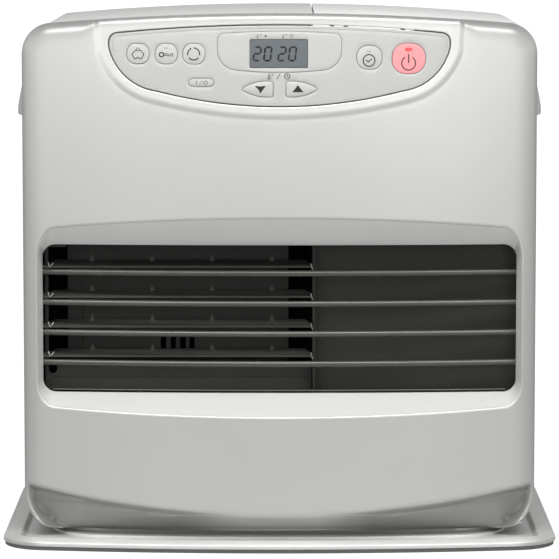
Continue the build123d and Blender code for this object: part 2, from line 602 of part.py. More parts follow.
# --------------------------------------------------------------- fuel system
tx0, tx1, ty0, ty1, tz0, tz1 = TANK
tank = box(*TANK)
tank = fillet(tank.edges().filter_by(Axis.Z), 14.0)
t_in = box(tx0 + 1.2, tx1 - 1.2, ty0 + 1.2, ty1 - 1.2, tz0 + 1.2, tz1 - 1.2)
t_in = fillet(t_in.edges().filter_by(Axis.Z), 12.8)
tank -= t_in
CAPX, CAPY = 84.0, 30.0
tank += tube("z", CAPX, CAPY, 15.0, 13.0, 66.0, 73.0)
tank -= cyl("z", CAPX, CAPY, 13.0, 60.0, 74.0)
BAIL_Y, BAIL_Z = 34.0, 370.0
for x0 in (86.0, 148.0):
    tank += box(x0, x0 + 6.0, BAIL_Y - 6, BAIL_Y + 6, tz1 - 0.6, BAIL_Z) + cyl("x", BAIL_Y, BAIL_Z, 6.0, x0, x0 + 6.0)
    tank -= cyl("x", BAIL_Y, BAIL_Z, 2.06, x0 - 1, x0 + 7)
save("fuel_tank", tank)
save("fuel_gauge", box(56.0, 68.0, ty0 - 1.0, ty0 - 0.1, 120.0, 300.0))
cap = cyl("z", CAPX, CAPY, 19.0, 58.6, 65.9) + tube("z", CAPX, CAPY, 19.0, 15.3, 65.9, 71.6)
cap += cyl("z", CAPX, CAPY, 5.0, 52.0, 58.6)
save("tank_cap", cap)
bail = cyl("x", BAIL_Y - 46.0, BAIL_Z, 4.5, 79.0, 161.0)
for x0, p0, p1 in ((81.0, 85.0, 91.0), (155.0, 149.0, 155.0)):
    bail += box(x0, x0 + 4.0, BAIL_Y - 46.0, BAIL_Y, BAIL_Z - 3.0, BAIL_Z + 3.0) + cyl("x", BAIL_Y, BAIL_Z, 4.2, x0, x0 + 4.0)
    bail += cyl("x", BAIL_Y, BAIL_Z, 2.0, min(x0 + 3.9, p0), max(x0 + 0.1, p1))
save("tank_handle", bail)

sump = box(40.0, 176.0, -50.0, 96.0, 10.4, 51.0) - box(41.5, 174.5, -48.5, 94.5, 11.9, 49.5)
sump -= cyl("z", CAPX, CAPY, 20.5, 48, 52)
sump += tube("z", CAPX, CAPY, 22.5, 20.5, 49.5, 62.0)
for x in (56.0, 166.0):
    for y in (-36.0, 82.0):
        sump += box(x - 5, x + 5, y - 5, y + 5, 50.5, 71.9)
sump -= cyl("z", 58.0, -30.0, 1.0, 49, 50)
save("fuel_sump", sump)
st = tube("z", CAPX, CAPY, 20.2, 19.2, 24.0, 49.4) + cyl("z", CAPX, CAPY, 20.2, 23.0, 24.2)
for k in range(8):
    st -= Pos(CAPX, CAPY, 34) * Rot(0, 0, 45 * k) * Pos(20, 0, 0) * Box(6, 7, 14)
save("sump_strainer", st)
PUMP = (16.0, 40.0)
save("fuel_pump", cyl("z", PUMP[0], PUMP[1], 13.0, 22.0, 66.0) + box(-2.0, 34.0, 28.0, 52.0, 8.8, 22.0)
     + cyl("z", PUMP[0], PUMP[1], 5.0, 66.0, 74.0) + cyl("x", PUMP[1], 15.0, 4.0, 33.0, 39.9))
P0 = Vector(PUMP[0], PUMP[1], 74.1)
P1 = Vector(PUMP[0], PUMP[1], 94.0)
away = (Vector(PUMP[0], PUMP[1], 0) - Vector(BX, BY, 0)).normalized()
P2 = Vector(BX, BY, 94.0) + away * 36.3
BEND = 8.0
run = Line(P0, P1 - Vector(0, 0, BEND)) + TangentArc(P1 - Vector(0, 0, BEND), P1 - away * BEND, tangent=(0, 0, 1)) + Line(P1 - away * BEND, P2)
pipe = sweep(Plane(P0, z_dir=(0, 0, 1)) * Circle(2.4), run)
save("fuel_pipe", pipe)

# well around the tank with the deck seen under the open lid
deck = along_z(plan(3.2, 119.0), 397.0, 398.2) & box(25.0, 230, -90, 130, 390, 400)
well = box(33.4, 186.6, -56.8, 100.8, 66.0, 397.6) - box(34.6, 185.4, -55.6, 99.6, 60.0, 400.0)
deck -= box(34.6, 185.4, -55.6, 99.6, 390.0, 400.0)
liner = deck + well
liner += box(24.6, 25.8, -90.0, 119.0, 397.0, 423.8) + box(25.0, 188.0, -90.0, -88.8, 397.0, 416.0)
save("tank_well", liner)

# ------------------------------------------------------------ room-air fan
shr = tube("y", FAN_X, FAN_Z, 90.5, 88.6, 106.0, 132.0) + tube("y", FAN_X, FAN_Z, 98.0, 88.6, 130.6, 132.0)
shr = shr & box(-208, 24, 90, 135, 100, 340)
save("fan_shroud", shr)
motor = cyl("y", FAN_X, FAN_Z, 27.0, 62.0, 96.0) + cyl("y", FAN_X, FAN_Z, 9.0, 96.0, 99.0)
motor -= cyl("y", FAN_X, FAN_Z, 2.55, 90.0, 100.0)
save("fan_motor", motor)
br = tube("y", FAN_X, FAN_Z, 31.0, 27.3, 88.0, 92.0)
for k in range(3):
    br += Pos(FAN_X, 90.0, FAN_Z) * Rot(0, 120 * k + 30, 0) * Pos(61, 0, 0) * Box(62, 2.0, 9.0)
    br += Pos(FAN_X, 98.0, FAN_Z) * Rot(0, 120 * k + 30, 0) * Pos(91.4, 0, 0) * Box(1.4, 18.0, 9.0)
br -= cyl("y", FAN_X, FAN_Z, 90.52, 105.9, 120)
save("fan_bracket", br)
rot = cyl("y", FAN_X, FAN_Z, 24.0, 106.0, 120.0) + cyl("y", FAN_X, FAN_Z, 2.5, 91.0, 107.0)
for k in range(5):
    bl = Pos(FAN_X, 113.0, FAN_Z) * Rot(0, 72 * k, 0) * Pos(53.0, 0, 0) * Rot(28, 0, 0) * Box(62.0, 1.6, 30.0)
    rot += bl & cyl("y", FAN_X, FAN_Z, 84.5, 100, 126)
save("fan_rotor", rot)
gd = tube("y", FAN_X, FAN_Z, 87.6, 84.6, 134.0, 137.4)
for r in (14.0, 28.0, 42.0, 56.0, 70.0):
    gd += tube("y", FAN_X, FAN_Z, r + 1.0, r - 1.0, 134.6, 136.6)
for k in range(4):
    gd += Pos(FAN_X, 135.6, FAN_Z) * Rot(0, 45 * k, 0) * Box(171.0, 1.8, 3.0)
save("fan_guard", gd)
FZ0, FZ1, FX0, FX1 = 138.0, 326.0, -182.0, 10.0
flt = box(FX0, FX1, 138.4, 143.4, FZ0, FZ1) - box(FX0 + 7, FX1 - 7, 138, 144, FZ0 + 7, FZ1 - 7)
for i in range(1, 15):
    x = FX0 + 7 + (FX1 - FX0 - 14) * i / 15
    flt += box(x - 0.6, x + 0.6, 140.0, 141.4, FZ0 + 6, FZ1 - 6)
for i in range(1, 15):
    z = FZ0 + 7 + (FZ1 - FZ0 - 14) * i / 15
    flt += box(FX0 + 6, FX1 - 6, 140.0, 141.4, z - 0.6, z + 0.6)
flt += box((FX0 + FX1) / 2 - 14, (FX0 + FX1) / 2 + 14, 143.4, 147.0, FZ1 - 6.0, FZ1 - 3.0)
save("air_filter", flt)

# ------------------------------------------------------------ electrics
mb = box(42.0, 190.0, -73.6, -72.0, 24.0, 106.0)
for x, z, w, h, d in ((60, 44, 18, 18, 12), (86, 82, 26, 16, 8), (118, 48, 14, 14, 16), (150, 84, 22, 22, 10), (172, 44, 16, 22, 14)):
    mb += box(x - w / 2, x + w / 2, -73.6 - d, -73.5, z - h / 2, z + h / 2)
for x in (50.0, 182.0):
    for z in (30.0, 100.0):
        mb += cyl("y", x, z, 2.5, -72.1, -70.0)
save("main_board", mb)
save("board_carrier", box(38.0, 194.0, -69.9, -68.7, 20.0, 110.0) + box(38.0, 182.0, -69.9, -58.0, 11.2, 20.0))
tr = box(-44.0, -2.0, 72.0, 104.0, 8.8, 40.0) + box(-38.0, -8.0, 67.0, 109.0, 12.0, 36.0)
save("transformer", tr)
gl = cyl("y", 150.0, 52.0, 6.8, 130.0, 146.0) + cyl("y", 150.0, 52.0, 10.5, 138.1, 142.0) + cyl("y", 150.0, 52.0, 10.5, 132.0, 136.3)
gl -= cyl("y", 150.0, 52.0, 3.4, 125.0, 150.0)
save("cord_gland", gl)

scr = []
for x, z in ((-200, 60), (-200, 380), (200, 60), (200, 390), (-60, 400), (0, 20), (-150, 30), (160, 22)):
    h = cyl("y", x, z, 3.8, Y_BACK + 0.05, Y_BACK + 2.2)
    h = fillet(h.edges().filter_by(GeomType.CIRCLE).sort_by(Axis.Y)[-1], 1.2)
    h -= box(x - 2.4, x + 2.4, Y_BACK + 1.3, Y_BACK + 3, z - 0.5, z + 0.5) + box(x - 0.5, x + 0.5, Y_BACK + 1.3, Y_BACK + 3, z - 2.4, z + 2.4)
    scr.append(h)
save("rear_screws", solids(*scr))
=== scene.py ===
import json
import math

import bmesh
import bpy
import numpy as np
from mathutils import Matrix, Vector
from mathutils.geometry import delaunay_2d_cdt


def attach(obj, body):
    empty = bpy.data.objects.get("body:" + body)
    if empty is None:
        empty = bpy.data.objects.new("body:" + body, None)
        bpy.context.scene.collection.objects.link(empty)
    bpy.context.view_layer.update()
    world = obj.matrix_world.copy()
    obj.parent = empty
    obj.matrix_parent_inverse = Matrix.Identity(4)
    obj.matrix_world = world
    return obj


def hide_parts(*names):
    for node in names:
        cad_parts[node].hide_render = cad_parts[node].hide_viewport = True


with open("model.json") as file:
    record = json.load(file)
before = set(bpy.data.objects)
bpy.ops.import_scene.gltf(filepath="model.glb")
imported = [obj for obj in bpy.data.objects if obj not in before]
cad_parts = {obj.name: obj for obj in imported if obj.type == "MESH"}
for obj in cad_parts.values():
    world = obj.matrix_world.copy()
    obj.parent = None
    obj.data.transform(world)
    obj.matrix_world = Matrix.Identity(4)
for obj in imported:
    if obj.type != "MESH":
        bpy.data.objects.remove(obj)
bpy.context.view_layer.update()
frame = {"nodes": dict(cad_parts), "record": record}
NODES = frame["nodes"]
MM = 0.001

# ------------------------------------------------------------------ dimensions
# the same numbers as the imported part, in millimetres
Z_TOP, CROWN_R = 436.3, 2050.0
HW = 211.5
Y_FACE, FACE_R = -119.0, 812.0
AXIS_Y = Y_FACE + FACE_R
Y_WRAP = -58.0
TOP_CR, BOT_CR, Z_BOT = 26.0, 30.0, 9.0
TOP_SPLIT, Z_LID = 13.0, 404.0
WIN_HX, WIN_Z0, WIN_Z1 = 195.5, 122.5, 245.0
Y_WIN, WIN_R = -85.0, 1900.0
K_TOP, K_BOT, K_SIDE = 0.75, 0.46, 0.19
ROD_Z, ROD_Y, ROD_BOW = (224.4, 199.3, 174.8, 150.1), -105.0, 1275.0
POD_OUT, PLATE_OUT = 2.6, 1.7


# ------------------------------------------------------------------- materials
class Nodes:
    """Small helper for building a node material."""

    def __init__(self, name):
        self.m = bpy.data.materials.new(name)
        self.m.use_nodes = True
        self.t = self.m.node_tree
        self.t.nodes.clear()
        self.out = self.add("ShaderNodeOutputMaterial")
        self.bsdf = self.add("ShaderNodeBsdfPrincipled")
        self.link(self.bsdf, "BSDF", self.out, "Surface")
        self.tc = self.add("ShaderNodeTexCoord")

    def add(self, kind, **kw):
        n = self.t.nodes.new(kind)
        for k, v in kw.items():
            setattr(n, k, v)
        return n

    def link(self, a, ao, b, bi):
        self.t.links.new(a.outputs[ao], b.inputs[bi])

    def noise(self, scale, detail=2.0, rough=0.5, stretch=None, distortion=0.0):
        n = self.add("ShaderNodeTexNoise")
        n.inputs["Scale"].default_value = scale
        n.inputs["Detail"].default_value = detail
        n.inputs["Roughness"].default_value = rough
        n.inputs["Distortion"].default_value = distortion
        if stretch:
            mp = self.add("ShaderNodeMapping")
            mp.inputs["Scale"].default_value = stretch
            self.link(self.tc, "Object", mp, "Vector")
            self.link(mp, "Vector", n, "Vector")
        else:
            self.link(self.tc, "Object", n, "Vector")
        return n

    def rng(self, src, out, lo, hi, a=0.3, b=0.7):
        n = self.add("ShaderNodeMapRange")
        n.inputs["From Min"].default_value = a
        n.inputs["From Max"].default_value = b
        n.inputs["To Min"].default_value = lo
        n.inputs["To Max"].default_value = hi
        self.link(src, out, n, "Value")
        return n

    def mul(self, a, ao, b, bo):
        n = self.add("ShaderNodeMath", operation="MULTIPLY")
        self.link(a, ao, n, 0)
        self.link(b, bo, n, 1)
        return n

    def tint(self, rgb, src, out):
        n = self.add("ShaderNodeVectorMath", operation="SCALE")
        n.inputs[0].default_value = rgb
        self.t.links.new(src.outputs[out], n.inputs["Scale"])
        return n


def finish_mat(
    name,
    rgb,
    rough=0.5,
    metal=0.0,
    spec=0.5,
    coat=0.0,
    coat_rough=0.1,
    var=0.04,
    var_scale=14.0,
    fine=0.03,
    fine_scale=1400.0,
    rough_var=0.05,
    bump=0.15,
    bump_scale=700.0,
    bump_dist=0.00006,
    stretch=None,
    edge=0.0,
    attr=None,
):
    """Painted, moulded or rolled surface: broad colour drift, fine grain, uneven gloss and a shallow surface texture.
    """
    k = Nodes(name)
    b = k.bsdf
    broad = k.noise(var_scale, 3.0, 0.55)
    grain = k.noise(fine_scale, 2.0, 0.6, stretch)
    v = k.mul(k.rng(broad, "Fac", 1 - var, 1 + var), "Result", k.rng(grain, "Fac", 1 - fine, 1 + fine), "Result")
    # base colour lighter on sharp convex edges
    if edge:
        geo = k.add("ShaderNodeNewGeometry")
        convex_lift = k.rng(geo, "Pointiness", 1.0, 1.0 + edge, 0.51, 0.58)
        v = k.mul(v, "Value", convex_lift, "Result")
    # an optional mesh attribute multiplies the base colour; on the front shell and tray top it holds painted light and
    # shade
    if attr:
        at = k.add("ShaderNodeAttribute")
        at.attribute_name = attr
        v = k.mul(v, "Value", at, "Fac")
    col = k.tint(rgb, v, "Value")
    k.link(col, "Vector", b, "Base Color")
    uneven = k.noise(var_scale * 5.0, 4.0, 0.6)
    k.link(k.rng(uneven, "Fac", max(0.02, rough - rough_var), min(1.0, rough + rough_var)), "Result", b, "Roughness")
    b.inputs["Metallic"].default_value = metal
    b.inputs["Specular IOR Level"].default_value = spec
    b.inputs["Coat Weight"].default_value = coat
    b.inputs["Coat Roughness"].default_value = coat_rough
    if bump:
        skin = k.noise(bump_scale, 3.0, 0.55, stretch)
        bp = k.add("ShaderNodeBump")
        bp.inputs["Strength"].default_value = bump
        bp.inputs["Distance"].default_value = bump_dist
        k.link(skin, "Fac", bp, "Height")
        k.link(bp, "Normal", b, "Normal")
    return k.m


M = {}
M["silver_paint"] = finish_mat("silver_enamel", (0.545, 0.545, 0.53), rough=0.36, metal=0.35, spec=0.5, coat=0.25, coat_rough=0.18,
                               var=0.012, fine=0.025, fine_scale=2600, rough_var=0.03, bump=0.10, bump_scale=420, bump_dist=0.00004)
# the front enamel multiplies its base colour by the painted light and shade stored on the front shell
M["front_paint"] = finish_mat("silver_enamel_front", (0.545, 0.545, 0.53), rough=0.36, metal=0.35, spec=0.5, coat=0.25, coat_rough=0.18,
                              var=0.012, fine=0.025, fine_scale=2600, rough_var=0.03, bump=0.10, bump_scale=420, bump_dist=0.00004, attr="painted_shading")
# painted light: a paler copy of the scoop enamel for the downward-facing upper wall of the scoop
M["scoop_roof"] = finish_mat("silver_enamel_roof_painted_light", (0.84, 0.84, 0.82), rough=0.42, metal=0.08, spec=0.5, coat=0.15, coat_rough=0.25,
                             var=0.012, fine=0.02, fine_scale=2600, rough_var=0.03, bump=0.10, bump_scale=420, bump_dist=0.00004)
# the tray-top enamel multiplies its base colour by the painted light and shade stored on the tray
M["tray_top"] = finish_mat("tray_enamel_top", (0.60, 0.60, 0.585), rough=0.36, metal=0.15, spec=0.5, coat=0.2, coat_rough=0.15,
                           var=0.012, fine=0.02, fine_scale=2200, rough_var=0.03, bump=0.05, bump_scale=420, bump_dist=0.00002, attr="painted_shading")
# painted shade: a dark copy of the tray enamel for the skirt under the rolled rim
M["tray_skirt"] = finish_mat("tray_skirt_painted_shade", (0.17, 0.17, 0.165), rough=0.5, metal=0.1, spec=0.4,
                             var=0.03, fine=0.03, fine_scale=1800, rough_var=0.03, bump=0.08, bump_scale=420, bump_dist=0.00003)
# satin enamel of the scoop walls, paler than the face as painted light in the recess
M["scoop_paint"] = finish_mat("silver_enamel_satin_painted_light", (0.62, 0.62, 0.605), rough=0.42, metal=0.12, spec=0.5, coat=0.15, coat_rough=0.25,
                              var=0.012, fine=0.02, fine_scale=2600, rough_var=0.03, bump=0.10, bump_scale=420, bump_dist=0.00004)
M["tray_paint"] = finish_mat("tray_enamel", (0.60, 0.60, 0.585), rough=0.34, metal=0.25, spec=0.5, coat=0.2, coat_rough=0.15,
                             var=0.012, fine=0.02, fine_scale=2200, rough_var=0.03, bump=0.05, bump_scale=420, bump_dist=0.00002)
M["lid_plastic"] = finish_mat("silver_moulding", (0.60, 0.60, 0.59), rough=0.40, metal=0.15, coat=0.1, coat_rough=0.3,
                              var=0.015, fine=0.02, fine_scale=2400, bump=0.12, bump_scale=600, bump_dist=0.00004)
M["panel_plastic"] = finish_mat("printed_plate", (0.385, 0.385, 0.372), rough=0.48, metal=0.0, spec=0.35,
                                var=0.015, fine=0.02, fine_scale=2600, bump=0.12, bump_scale=1500, bump_dist=0.00003)
M["button_plastic"] = finish_mat("key_cap", (0.40, 0.40, 0.388), rough=0.40, spec=0.4, var=0.015, fine=0.015,
                                 bump=0.08, bump_scale=1800, bump_dist=0.00002)
M["power_plastic"] = finish_mat("power_key_cap", (0.66, 0.255, 0.265), rough=0.40, spec=0.4, var=0.03, fine=0.02,
                                bump=0.08, bump_scale=1800, bump_dist=0.00002)
M["red_lens"] = finish_mat("lamp_lens", (0.85, 0.03, 0.03), rough=0.2, spec=0.6, coat=0.6, coat_rough=0.05, var=0.05, fine=0.02, bump=0.05)
M["display_glass"] = finish_mat("display_housing", (0.05, 0.052, 0.055), rough=0.3, var=0.04)
M["black_sheet"] = finish_mat("dark_enamel", (0.028, 0.027, 0.024), rough=0.46, metal=0.2, spec=0.4, var=0.12, fine=0.08, rough_var=0.08,
                              bump=0.25, bump_scale=500, bump_dist=0.00006)
M["rod_steel"] = finish_mat("rod_enamel", (0.085, 0.083, 0.072), rough=0.34, metal=0.35, coat=0.2, var=0.06, fine=0.05, edge=0.1,
                            bump=0.15, bump_scale=900, bump_dist=0.00004)
M["vane_sheet"] = finish_mat("vane_enamel", (0.058, 0.057, 0.051), rough=0.42, metal=0.25, var=0.08, fine=0.06, edge=0.15,
                             bump=0.2, bump_scale=700, bump_dist=0.00005)
# pale metal for the small wire marks at the vane ends, painted highlights
M["clip"] = finish_mat("edge_glint_metal", (0.42, 0.42, 0.40), rough=0.35, metal=0.6, var=0.06, fine=0.05, bump=0.05)
M["sill"] = finish_mat("sill_enamel", (0.040, 0.040, 0.035), rough=0.5, metal=0.1, var=0.08, fine=0.06, bump=0.12, bump_scale=600)
M["back_wall"] = finish_mat("heat_shield_enamel", (0.028, 0.028, 0.025), rough=0.6, metal=0.1, var=0.10, fine=0.06, bump=0.12, bump_scale=500)
# painted highlight: a paler copy of the black frame enamel for the lower edge lip
M["frame_lip_glint"] = finish_mat("frame_edge_painted_highlight", (0.10, 0.10, 0.09), rough=0.4, metal=0.2, var=0.06, fine=0.05, bump=0.05)
# painted shade: near-black for the deep inside of the outlet
M["soot"] = finish_mat("sooted_duct", (0.004, 0.004, 0.004), rough=0.8, spec=0.05, var=0.2, fine=0.1, bump=0.15, bump_scale=300)
M["handle_plastic"] = finish_mat("grip_moulding", (0.52, 0.52, 0.51), rough=0.45, var=0.02, fine=0.03, bump=0.2, bump_scale=900, bump_dist=0.00005)
M["zinc_sheet"] = finish_mat("galvanised_sheet", (0.44, 0.45, 0.46), rough=0.42, metal=0.9, var=0.12, var_scale=60, fine=0.05,
                             bump=0.15, bump_scale=200, bump_dist=0.00008)
M["tank_sheet"] = finish_mat("tank_enamel", (0.50, 0.51, 0.52), rough=0.35, metal=0.7, var=0.06, fine=0.04, stretch=(1, 1, 0.05),
                             bump=0.15, bump_scale=500, bump_dist=0.00005)
M["burner_steel"] = finish_mat("heat_tinted_steel", (0.30, 0.25, 0.20), rough=0.45, metal=0.9, var=0.25, var_scale=30, fine=0.08,
                               bump=0.3, bump_scale=400, bump_dist=0.0001)
M["motor_sheet"] = finish_mat("motor_can", (0.33, 0.34, 0.35), rough=0.38, metal=0.85, var=0.08, fine=0.05)
M["ceramic"] = finish_mat("glazed_ceramic", (0.72, 0.69, 0.62), rough=0.35, var=0.05, fine=0.03)
M["black_plastic"] = finish_mat("black_moulding", (0.022, 0.022, 0.023), rough=0.5, var=0.08, fine=0.08, bump=0.35, bump_scale=1200,
                                bump_dist=0.00008)
M["white_plastic"] = finish_mat("white_moulding", (0.66, 0.66, 0.64), rough=0.5, var=0.03, fine=0.03, bump=0.2, bump_scale=1100)
M["board"] = finish_mat("circuit_board", (0.03, 0.12, 0.06), rough=0.45, var=0.2, var_scale=220, fine=0.15, fine_scale=900)
M["copper"] = finish_mat("copper_tube", (0.50, 0.23, 0.12), rough=0.32, metal=1.0, var=0.12, var_scale=90, fine=0.06)
M["rubber"] = finish_mat("rubber_foot", (0.03, 0.03, 0.03), rough=0.8, var=0.1, fine=0.1, bump=0.4, bump_scale=900, bump_dist=0.0001)
M["screw_steel"] = finish_mat("bright_screw", (0.86, 0.86, 0.84), rough=0.3, metal=0.5, var=0.06, fine=0.05, bump=0.1)
M["mesh"] = finish_mat("filter_moulding", (0.05, 0.05, 0.052), rough=0.55, var=0.08, fine=0.1, bump=0.3, bump_scale=900)
M["ink"] = finish_mat("printed_ink", (0.010, 0.010, 0.011), rough=0.5, var=0.06, fine=0.05, bump=0.05)
M["ink_grey"] = finish_mat("printed_ink_grey", (0.09, 0.09, 0.088), rough=0.5, var=0.06, fine=0.05, bump=0.05)
M["line_grey"] = finish_mat("pressed_line", (0.20, 0.20, 0.195), rough=0.5, var=0.04, fine=0.03, bump=0.05)
M["line_light"] = finish_mat("pressed_line_light", (0.29, 0.29, 0.28), rough=0.5, var=0.04, fine=0.03, bump=0.05)
M["ink_red"] = finish_mat("printed_ink_dark_red", (0.05, 0.018, 0.02), rough=0.5, var=0.05, fine=0.04, bump=0.05)
M["lcd"] = finish_mat("lcd_ground", (0.105, 0.116, 0.124), rough=0.35, spec=0.3, coat=0.1, coat_rough=0.06, var=0.03, var_scale=40,
                      fine=0.02, bump=0.03)
M["lcd_dark"] = finish_mat("lcd_segment", (0.008, 0.009, 0.011), rough=0.3, var=0.05, fine=0.03, bump=0.03)
M["led_grey"] = finish_mat("unlit_lamp", (0.33, 0.33, 0.31), rough=0.25, var=0.04, coat=0.4, bump=0.05)


# ---------------------------------------------------------------- mesh helpers
def to_obj(name, verts, faces, mats, body="cabinet", replaces=(), smooth=True, face_mat=None, weld=0.0, sharp_deg=None):
    """Mesh object from millimetre vertices, riding on a body."""
    me = bpy.data.meshes.new(name)
    me.from_pydata([tuple(c * MM for c in v) for v in verts], [], [tuple(int(i) for i in f) for f in faces])
    for m in mats if isinstance(mats, (list, tuple)) else [mats]:
        me.materials.append(m)
    if face_mat is not None:
        me.polygons.foreach_set("material_index", np.asarray(face_mat, np.int32))
    me.polygons.foreach_set("use_smooth", [smooth] * len(me.polygons))
    me.update()
    if weld:
        bm = bmesh.new()
        bm.from_mesh(me)
        bmesh.ops.remove_doubles(bm, verts=bm.verts, dist=weld * MM)
        bmesh.ops.dissolve_degenerate(bm, edges=bm.edges, dist=1e-7)
        bm.to_mesh(me)
        bm.free()
    if sharp_deg is not None:
        bm = bmesh.new()
        bm.from_mesh(me)
        lim = math.radians(sharp_deg)
        for e in bm.edges:
            if len(e.link_faces) == 2 and e.calc_face_angle(0.0) > lim:
                e.smooth = False
        bm.to_mesh(me)
        bm.free()
    o = bpy.data.objects.new(name, me)
    bpy.context.scene.collection.objects.link(o)
    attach(o, body)
    if replaces:
        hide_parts(*replaces)
    return o


def strip(rows, closed=True, flip=False, base=0):
    """Faces between successive rows of equal length."""
    f = []
    n = len(rows[0])
    for r in range(len(rows) - 1):
        for i in range(n if closed else n - 1):
            j = (i + 1) % n
            a, b, c, d = base + r * n + i, base + r * n + j, base + (r + 1) * n + j, base + (r + 1) * n + i
            f.append((a, d, c, b) if flip else (a, b, c, d))
    return f


def ramp(t):
    t = np.clip(t, 0.0, 1.0)
    return t * t * (3.0 - 2.0 * t)


def smax(a, b, k):
    h = np.maximum(k - np.abs(a - b), 0.0) / k
    return np.maximum(a, b) + h * h * k * 0.25


def smin(a, b, k):
    h = np.maximum(k - np.abs(a - b), 0.0) / k
    return np.minimum(a, b) - h * h * k * 0.25


def arc3(p, q, r, step):
    """Points on the arc through p, q, r, from p to r."""
    ax, ay, bx, by, cx, cy = *p, *q, *r
    d = 2 * (ax * (by - cy) + bx * (cy - ay) + cx * (ay - by))
    ux = ((ax**2 + ay**2) * (by - cy) + (bx**2 + by**2) * (cy - ay) + (cx**2 + cy**2) * (ay - by)) / d
    uy = ((ax**2 + ay**2) * (cx - bx) + (bx**2 + by**2) * (ax - cx) + (cx**2 + cy**2) * (bx - ax)) / d
    R = math.hypot(ax - ux, ay - uy)
    a0, a1, a2 = (math.atan2(y - uy, x - ux) for x, y in (p, q, r))
    ccw = (a1 - a0) % (2 * math.pi) < (a2 - a0) % (2 * math.pi)
    sweep = (a2 - a0) % (2 * math.pi) if ccw else -((a0 - a2) % (2 * math.pi))
    n = max(2, int(abs(sweep) * R / step) + 1)
    return [(ux + R * math.cos(a0 + sweep * i / n), uy + R * math.sin(a0 + sweep * i / n)) for i in range(n + 1)]


def seg(p, q, step):
    n = max(1, int(math.dist(p, q) / step))
    return [(p[0] + (q[0] - p[0]) * i / n, p[1] + (q[1] - p[1]) * i / n) for i in range(n + 1)]


def joinp(*runs):
    out = []
    for r in runs:
        for p in r:
            if not out or math.dist(out[-1], p) > 1e-4:
                out.append(tuple(p))
    if math.dist(out[0], out[-1]) < 1e-4:
        out.pop()
    return out


def resample(pts, step, closed=True):
    """Even spacing along a polyline."""
    p = np.asarray(pts, float)
    q = np.vstack([p, p[:1]]) if closed else p
    s = np.concatenate([[0], np.cumsum(np.hypot(*np.diff(q, axis=0).T))])
    n = max(4, int(round(s[-1] / step)))
    t = np.linspace(0, s[-1], n + 1)
    if closed:
        t = t[:-1]
    return np.stack([np.interp(t, s, q[:, 0]), np.interp(t, s, q[:, 1])], 1)


def ccw(p):
    x, y = p[:, 0], p[:, 1]
    a = np.sum(x * np.roll(y, -1) - np.roll(x, -1) * y)
    return p if a > 0 else p[::-1]


def normals2(p):
    """Outward normals of a counterclockwise closed polyline."""
    t = np.roll(p, -1, 0) - np.roll(p, 1, 0)
    t /= np.maximum(np.hypot(t[:, 0], t[:, 1])[:, None], 1e-9)
    return np.stack([t[:, 1], -t[:, 0]], 1)


def grow(p, d):
    return p + normals2(p) * d


def inside(poly, pts):
    x, y = pts[:, 0], pts[:, 1]
    r = np.zeros(len(pts), bool)
    px, py = poly[:, 0], poly[:, 1]
    qx, qy = np.roll(px, -1), np.roll(py, -1)
    for a, b, c, d in zip(px, py, qx, qy):
        cond = (b > y) != (d > y)
        if not cond.any():
            continue
        xi = a + (y[cond] - b) / (d - b) * (c - a)
        r[cond] ^= x[cond] < xi
    return r


def dist_to(poly, pts, closed=True):
    """Distance from points to a polyline."""
    a = poly
    b = np.roll(poly, -1, 0) if closed else poly[1:]
    a = a if closed else a[:-1]
    best = np.full(len(pts), 1e9)
    for s in range(0, len(pts), 4000):
        p = pts[s : s + 4000, None, :]
        ab = (b - a)[None]
        t = np.clip(((p - a[None]) * ab).sum(2) / np.maximum((ab * ab).sum(2), 1e-12), 0, 1)
        q = a[None] + ab * t[..., None]
        best[s : s + 4000] = np.sqrt(((p - q) ** 2).sum(2)).min(1)
    return best


def cdt(border, holes, curves, spacing, keep=0.9, extra=None):
    """Triangles of the region inside border and outside holes, following the curves, with an even fill."""
    pts, edges = [], []

    def add(poly, closed):
        base = len(pts)
        pts.extend(map(tuple, poly))
        n = len(poly)
        edges.extend((base + i, base + (i + 1) % n) for i in range(n if closed else n - 1))

    add(border, True)
    for h in holes:
        add(h, True)
    for c, closed in curves:
        add(c, closed)
    fixed = np.array(pts)
    lo, hi = border.min(0), border.max(0)
    gx = np.arange(lo[0], hi[0], spacing)
    gy = np.arange(lo[1], hi[1], spacing * 0.8660254)
    grid = np.array([(x + (spacing / 2 if j % 2 else 0), y) for j, y in enumerate(gy) for x in gx])
    if extra is not None and len(extra):
        grid = np.vstack([grid, extra])
    ok = inside(border, grid)
    for h in holes:
        ok &= ~inside(h, grid)
    grid = grid[ok]
    cell = {}
    lim = spacing * keep * 0.62
    for x, y in fixed:
        cell.setdefault((int(x // lim), int(y // lim)), []).append((x, y))
    good = []
    for x, y in grid:
        i, j = int(x // lim), int(y // lim)
        if all((x - a) ** 2 + (y - b) ** 2 > lim * lim for di in (-1, 0, 1) for dj in (-1, 0, 1) for a, b in cell.get((i + di, j + dj), ())):
            good.append((x, y))
    pts.extend(good)
    v, _, f, *_ = delaunay_2d_cdt([Vector(p) for p in pts], edges, [], 0, 1e-4)
    v = np.array([(p.x, p.y) for p in v])
    f = np.array([t for t in f if len(t) == 3])
    c = v[f].mean(1)
    ok = inside(border, c)
    for h in holes:
        ok &= ~inside(h, c)
    f = f[ok]
    a = v[f]
    area = (a[:, 1, 0] - a[:, 0, 0]) * (a[:, 2, 1] - a[:, 0, 1]) - (a[:, 2, 0] - a[:, 0, 0]) * (a[:, 1, 1] - a[:, 0, 1])
    f = f[np.abs(area) > 1e-7]
    area = area[np.abs(area) > 1e-7]
    f[area < 0] = f[area < 0][:, ::-1]
    return v, f


def face_y(x, off=0.0):
    return AXIS_Y - np.sqrt((FACE_R + off) ** 2 - np.asarray(x, float) ** 2)


# ----------------------------------------------------------------- front panel
CROWN_C = Z_TOP - CROWN_R
TC = (HW - TOP_CR, CROWN_C + math.sqrt((CROWN_R - TOP_CR) ** 2 - (HW - TOP_CR) ** 2))
BC = (HW - BOT_CR, Z_BOT + BOT_CR)
TOP_ANG = math.atan2(CROWN_C * -1 + TC[1], TC[0])


